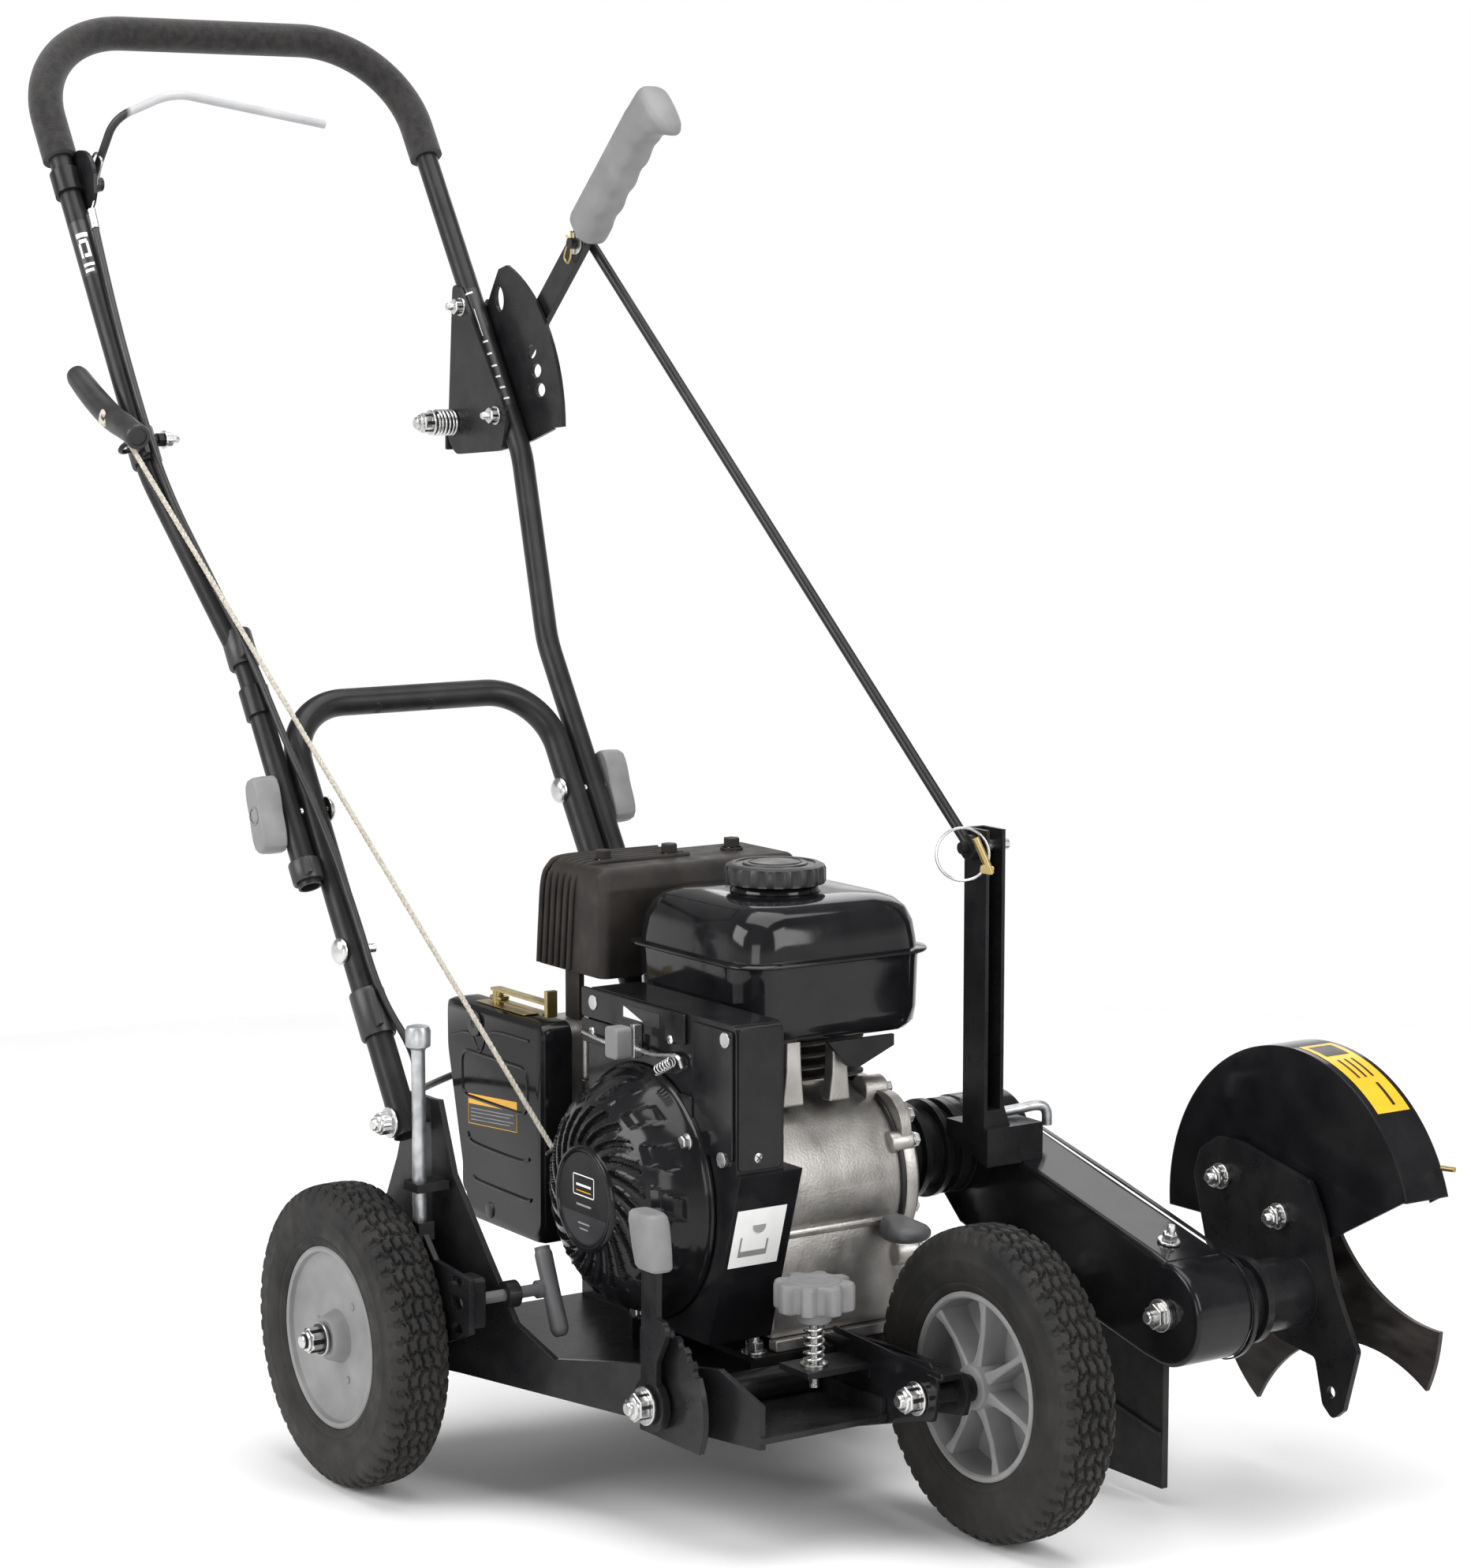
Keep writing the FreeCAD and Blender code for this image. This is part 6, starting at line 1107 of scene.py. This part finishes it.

# guard plate bolts with nuts, stud, label on the rim
for i, (x, z) in enumerate(((292, 200), (350, 184), (338, 115))):
    hexbolt("guard_nut%d" % i, (x, 345.9 - 1.6, z), (0, -1, 0), 13.2, 5.6, M_ZINC, "head", washer=8.8, stud=3.2, nyloc=True)
v, f = tube_mesh([(456, 388.4, 231), (466, 390.0, 231.5)], 1.8, 12)
obj("guard_stud", v, f, M_YZ, "head")
def rim_patch(name, a0, a1, y0, y1, mat, off, seg=20):
    V_, F_ = [], []
    for i in range(seg + 1):
        a = math.radians(a0 + (a1 - a0) * i / seg)
        for y in (y0, y1):
            V_.append((345.5 + (119 + off) * math.cos(a), y, 176.5 + (119 + off) * math.sin(a)))
    for i in range(seg):
        F_.append((2 * i, 2 * i + 1, 2 * i + 3, 2 * i + 2))
    return obj(name, V_, F_, mat, "head", angle=0)
rim_patch("guard_label", 47.5, 88, 360, 388, M_YELLOW, 0.25)
rim_patch("guard_label_block", 77, 86, 364, 384, M_LBLACK, 0.38)
rim_patch("guard_label_bar", 50, 60, 376.5, 379, M_LBLACK, 0.38)
rim_patch("guard_label_bar2", 63, 74, 367, 369, M_LBLACK, 0.38)
rim_patch("guard_label_bar3", 63, 74, 373, 375, M_LBLACK, 0.38)
rim_patch("guard_label_bar4", 63, 74, 379, 381, M_LBLACK, 0.38)
# flap: a slanted lip
V_ = [(264, 250.0, 66), (343, 250.0, 50), (343, 250.6, 47), (264, 250.6, 63), (264, 252, 66), (343, 252, 50), (343, 252, 47), (264, 252, 63)]
obj("flap_lip", V_, [(0, 1, 2, 3), (7, 6, 5, 4), (0, 4, 5, 1), (1, 5, 6, 2), (2, 6, 7, 3), (3, 7, 4, 0)], M_RUBBER, "head", bevel=0.3)

# deck bolts behind the engine
for i, (x, y) in enumerate(((70, 28), (70, 130), (198, 28))):
    hexbolt("deck_bolt%d" % i, (x, y, 105.1), (0, 0, 1), 11, 6, M_ZINC, "chassis", washer=8.4, stud=3.4)
hexbolt("arm_stop_screw", (246, -20, 84.1), (0, 0, 1), 6.5, 9, M_ZINC, "chassis", washer=5.0, stud=2.2)
# carrier bracket slots seen beside the wheel
prism("carrier_block", rrect(20, 34, 3), (97, -130.6, 140), (0, 1, 0), (0, 0, 1), 10, M_BLACK, "curb", bevel=0.8)

# ------------------------------------------------------------------ depth quadrant: rounded plate with open slots, inner wing, bridge
def plate(name, outer, holes, y0, y1, mat, body, bevel=0.35):
    from mathutils.geometry import tessellate_polygon
    loops = [outer] + holes
    flat = [p for l in loops for p in l]
    n = len(flat)
    V_ = [(x, y0, z) for x, z in flat] + [(x, y1, z) for x, z in flat]
    tris = tessellate_polygon([[Vector((x, z, 0)) for x, z in l] for l in loops])
    F_ = [tuple(t) for t in tris] + [tuple(n + i for i in reversed(t)) for t in tris]
    at = 0
    for l in loops:
        m = len(l)
        for k in range(m):
            a, b = at + k, at + (k + 1) % m
            F_.append((a, b, n + b, n + a))
        at += m
    return obj(name, V_, F_, mat, body, bevel=0, angle=35)
def soften(pts, r, k=6):
    out = []
    n = len(pts)
    for i in range(n):
        p0, p1, p2 = Vector(pts[i - 1]), Vector(pts[i]), Vector(pts[(i + 1) % n])
        a = p1 + (p0 - p1).normalized() * min(r, (p0 - p1).length * 0.48)
        b = p1 + (p2 - p1).normalized() * min(r, (p2 - p1).length * 0.48)
        for j in range(k + 1):
            t = j / k
            q = (1 - t) ** 2 * a + 2 * t * (1 - t) * p1 + t * t * b
            out.append((q.x, q.y))
    return out
def oval(cx, cz, rx, rz, tilt=0.0, k=24):
    c, s_ = math.cos(tilt), math.sin(tilt)
    return [(cx + rx * math.cos(2 * pi * i / k) * c - rz * math.sin(2 * pi * i / k) * s_, cz + rx * math.cos(2 * pi * i / k) * s_ + rz * math.sin(2 * pi * i / k) * c) for i in range(k)]
Q0 = 121.0 + 8.2 + 0.2
arc = []
for t in range(-4, 69, 4):
    a_ = math.radians(t)
    arc.append((-330 + 127 * math.cos(a_), 693 + 127 * math.sin(a_)))
q_out = soften([(-352, 680), (-330, 672), (-296, 672), (-252, 680), (-212, 692)], 10, 5)[3:] + arc[1:] + soften([(-292, 811), (-306, 790), (-350, 712), (-352, 680)], 7, 4)[2:-2]
q_holes = [oval(-293, 786, 6.2, 9.6, 0.18), oval(-247, 747, 7.2, 5.2, 0.25), oval(-240, 733.2, 7.2, 5.2, 0.15), oval(-234.5, 719.2, 7.2, 5.2, 0.05),
           oval(-330, 693, 5.05, 5.05), oval(-315.8, 780, 3.2, 3.2), oval(-265, 700, 3.2, 3.2)]
q = plate("quadrant_outer_plate", q_out, q_holes, Q0, Q0 + 3.0, M_BLACK, "upper")
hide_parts("depth_quadrant")
wing_out = soften([(-338, 680), (-326, 669), (-258, 674), (-250, 700), (-320, 796), (-329, 796)], 5, 4)
plate("quadrant_inner_wing", wing_out, [oval(-315.8, 780, 3.2, 3.2), oval(-265, 700, 3.2, 3.2)], 121 - 8.2 - 3.2, 121 - 8.2 - 0.2, M_BLACK, "upper")
prism("quadrant_bridge", rrect(Q0 + 3.0 - 109.6, 17, 1.0), (-339.5, (Q0 + 3.0 + 109.6) / 2, 680.5), (-1, 0, 0), (0, 0, 1), 3.0, M_BLACK, "upper", bevel=0.5)

# ------------------------------------------------------------------ near cheek of the front arm, tapering to the axle
cheek = soften([(219, 119), (262, 123), (346, 127.5), (354, 117), (350, 92), (243, 60), (226, 62)], 5, 4)
plate("front_arm_cheek", cheek, [], 60.6, 62.6, M_CASE, "arm")
prism("front_arm_cheek_lip", rrect(118, 4.2, 1.6), (300, 62.0, 123.6), (0, -1, 0), (0.045, 0, 1), 2.2, M_CASE, "arm", bevel=0.7)
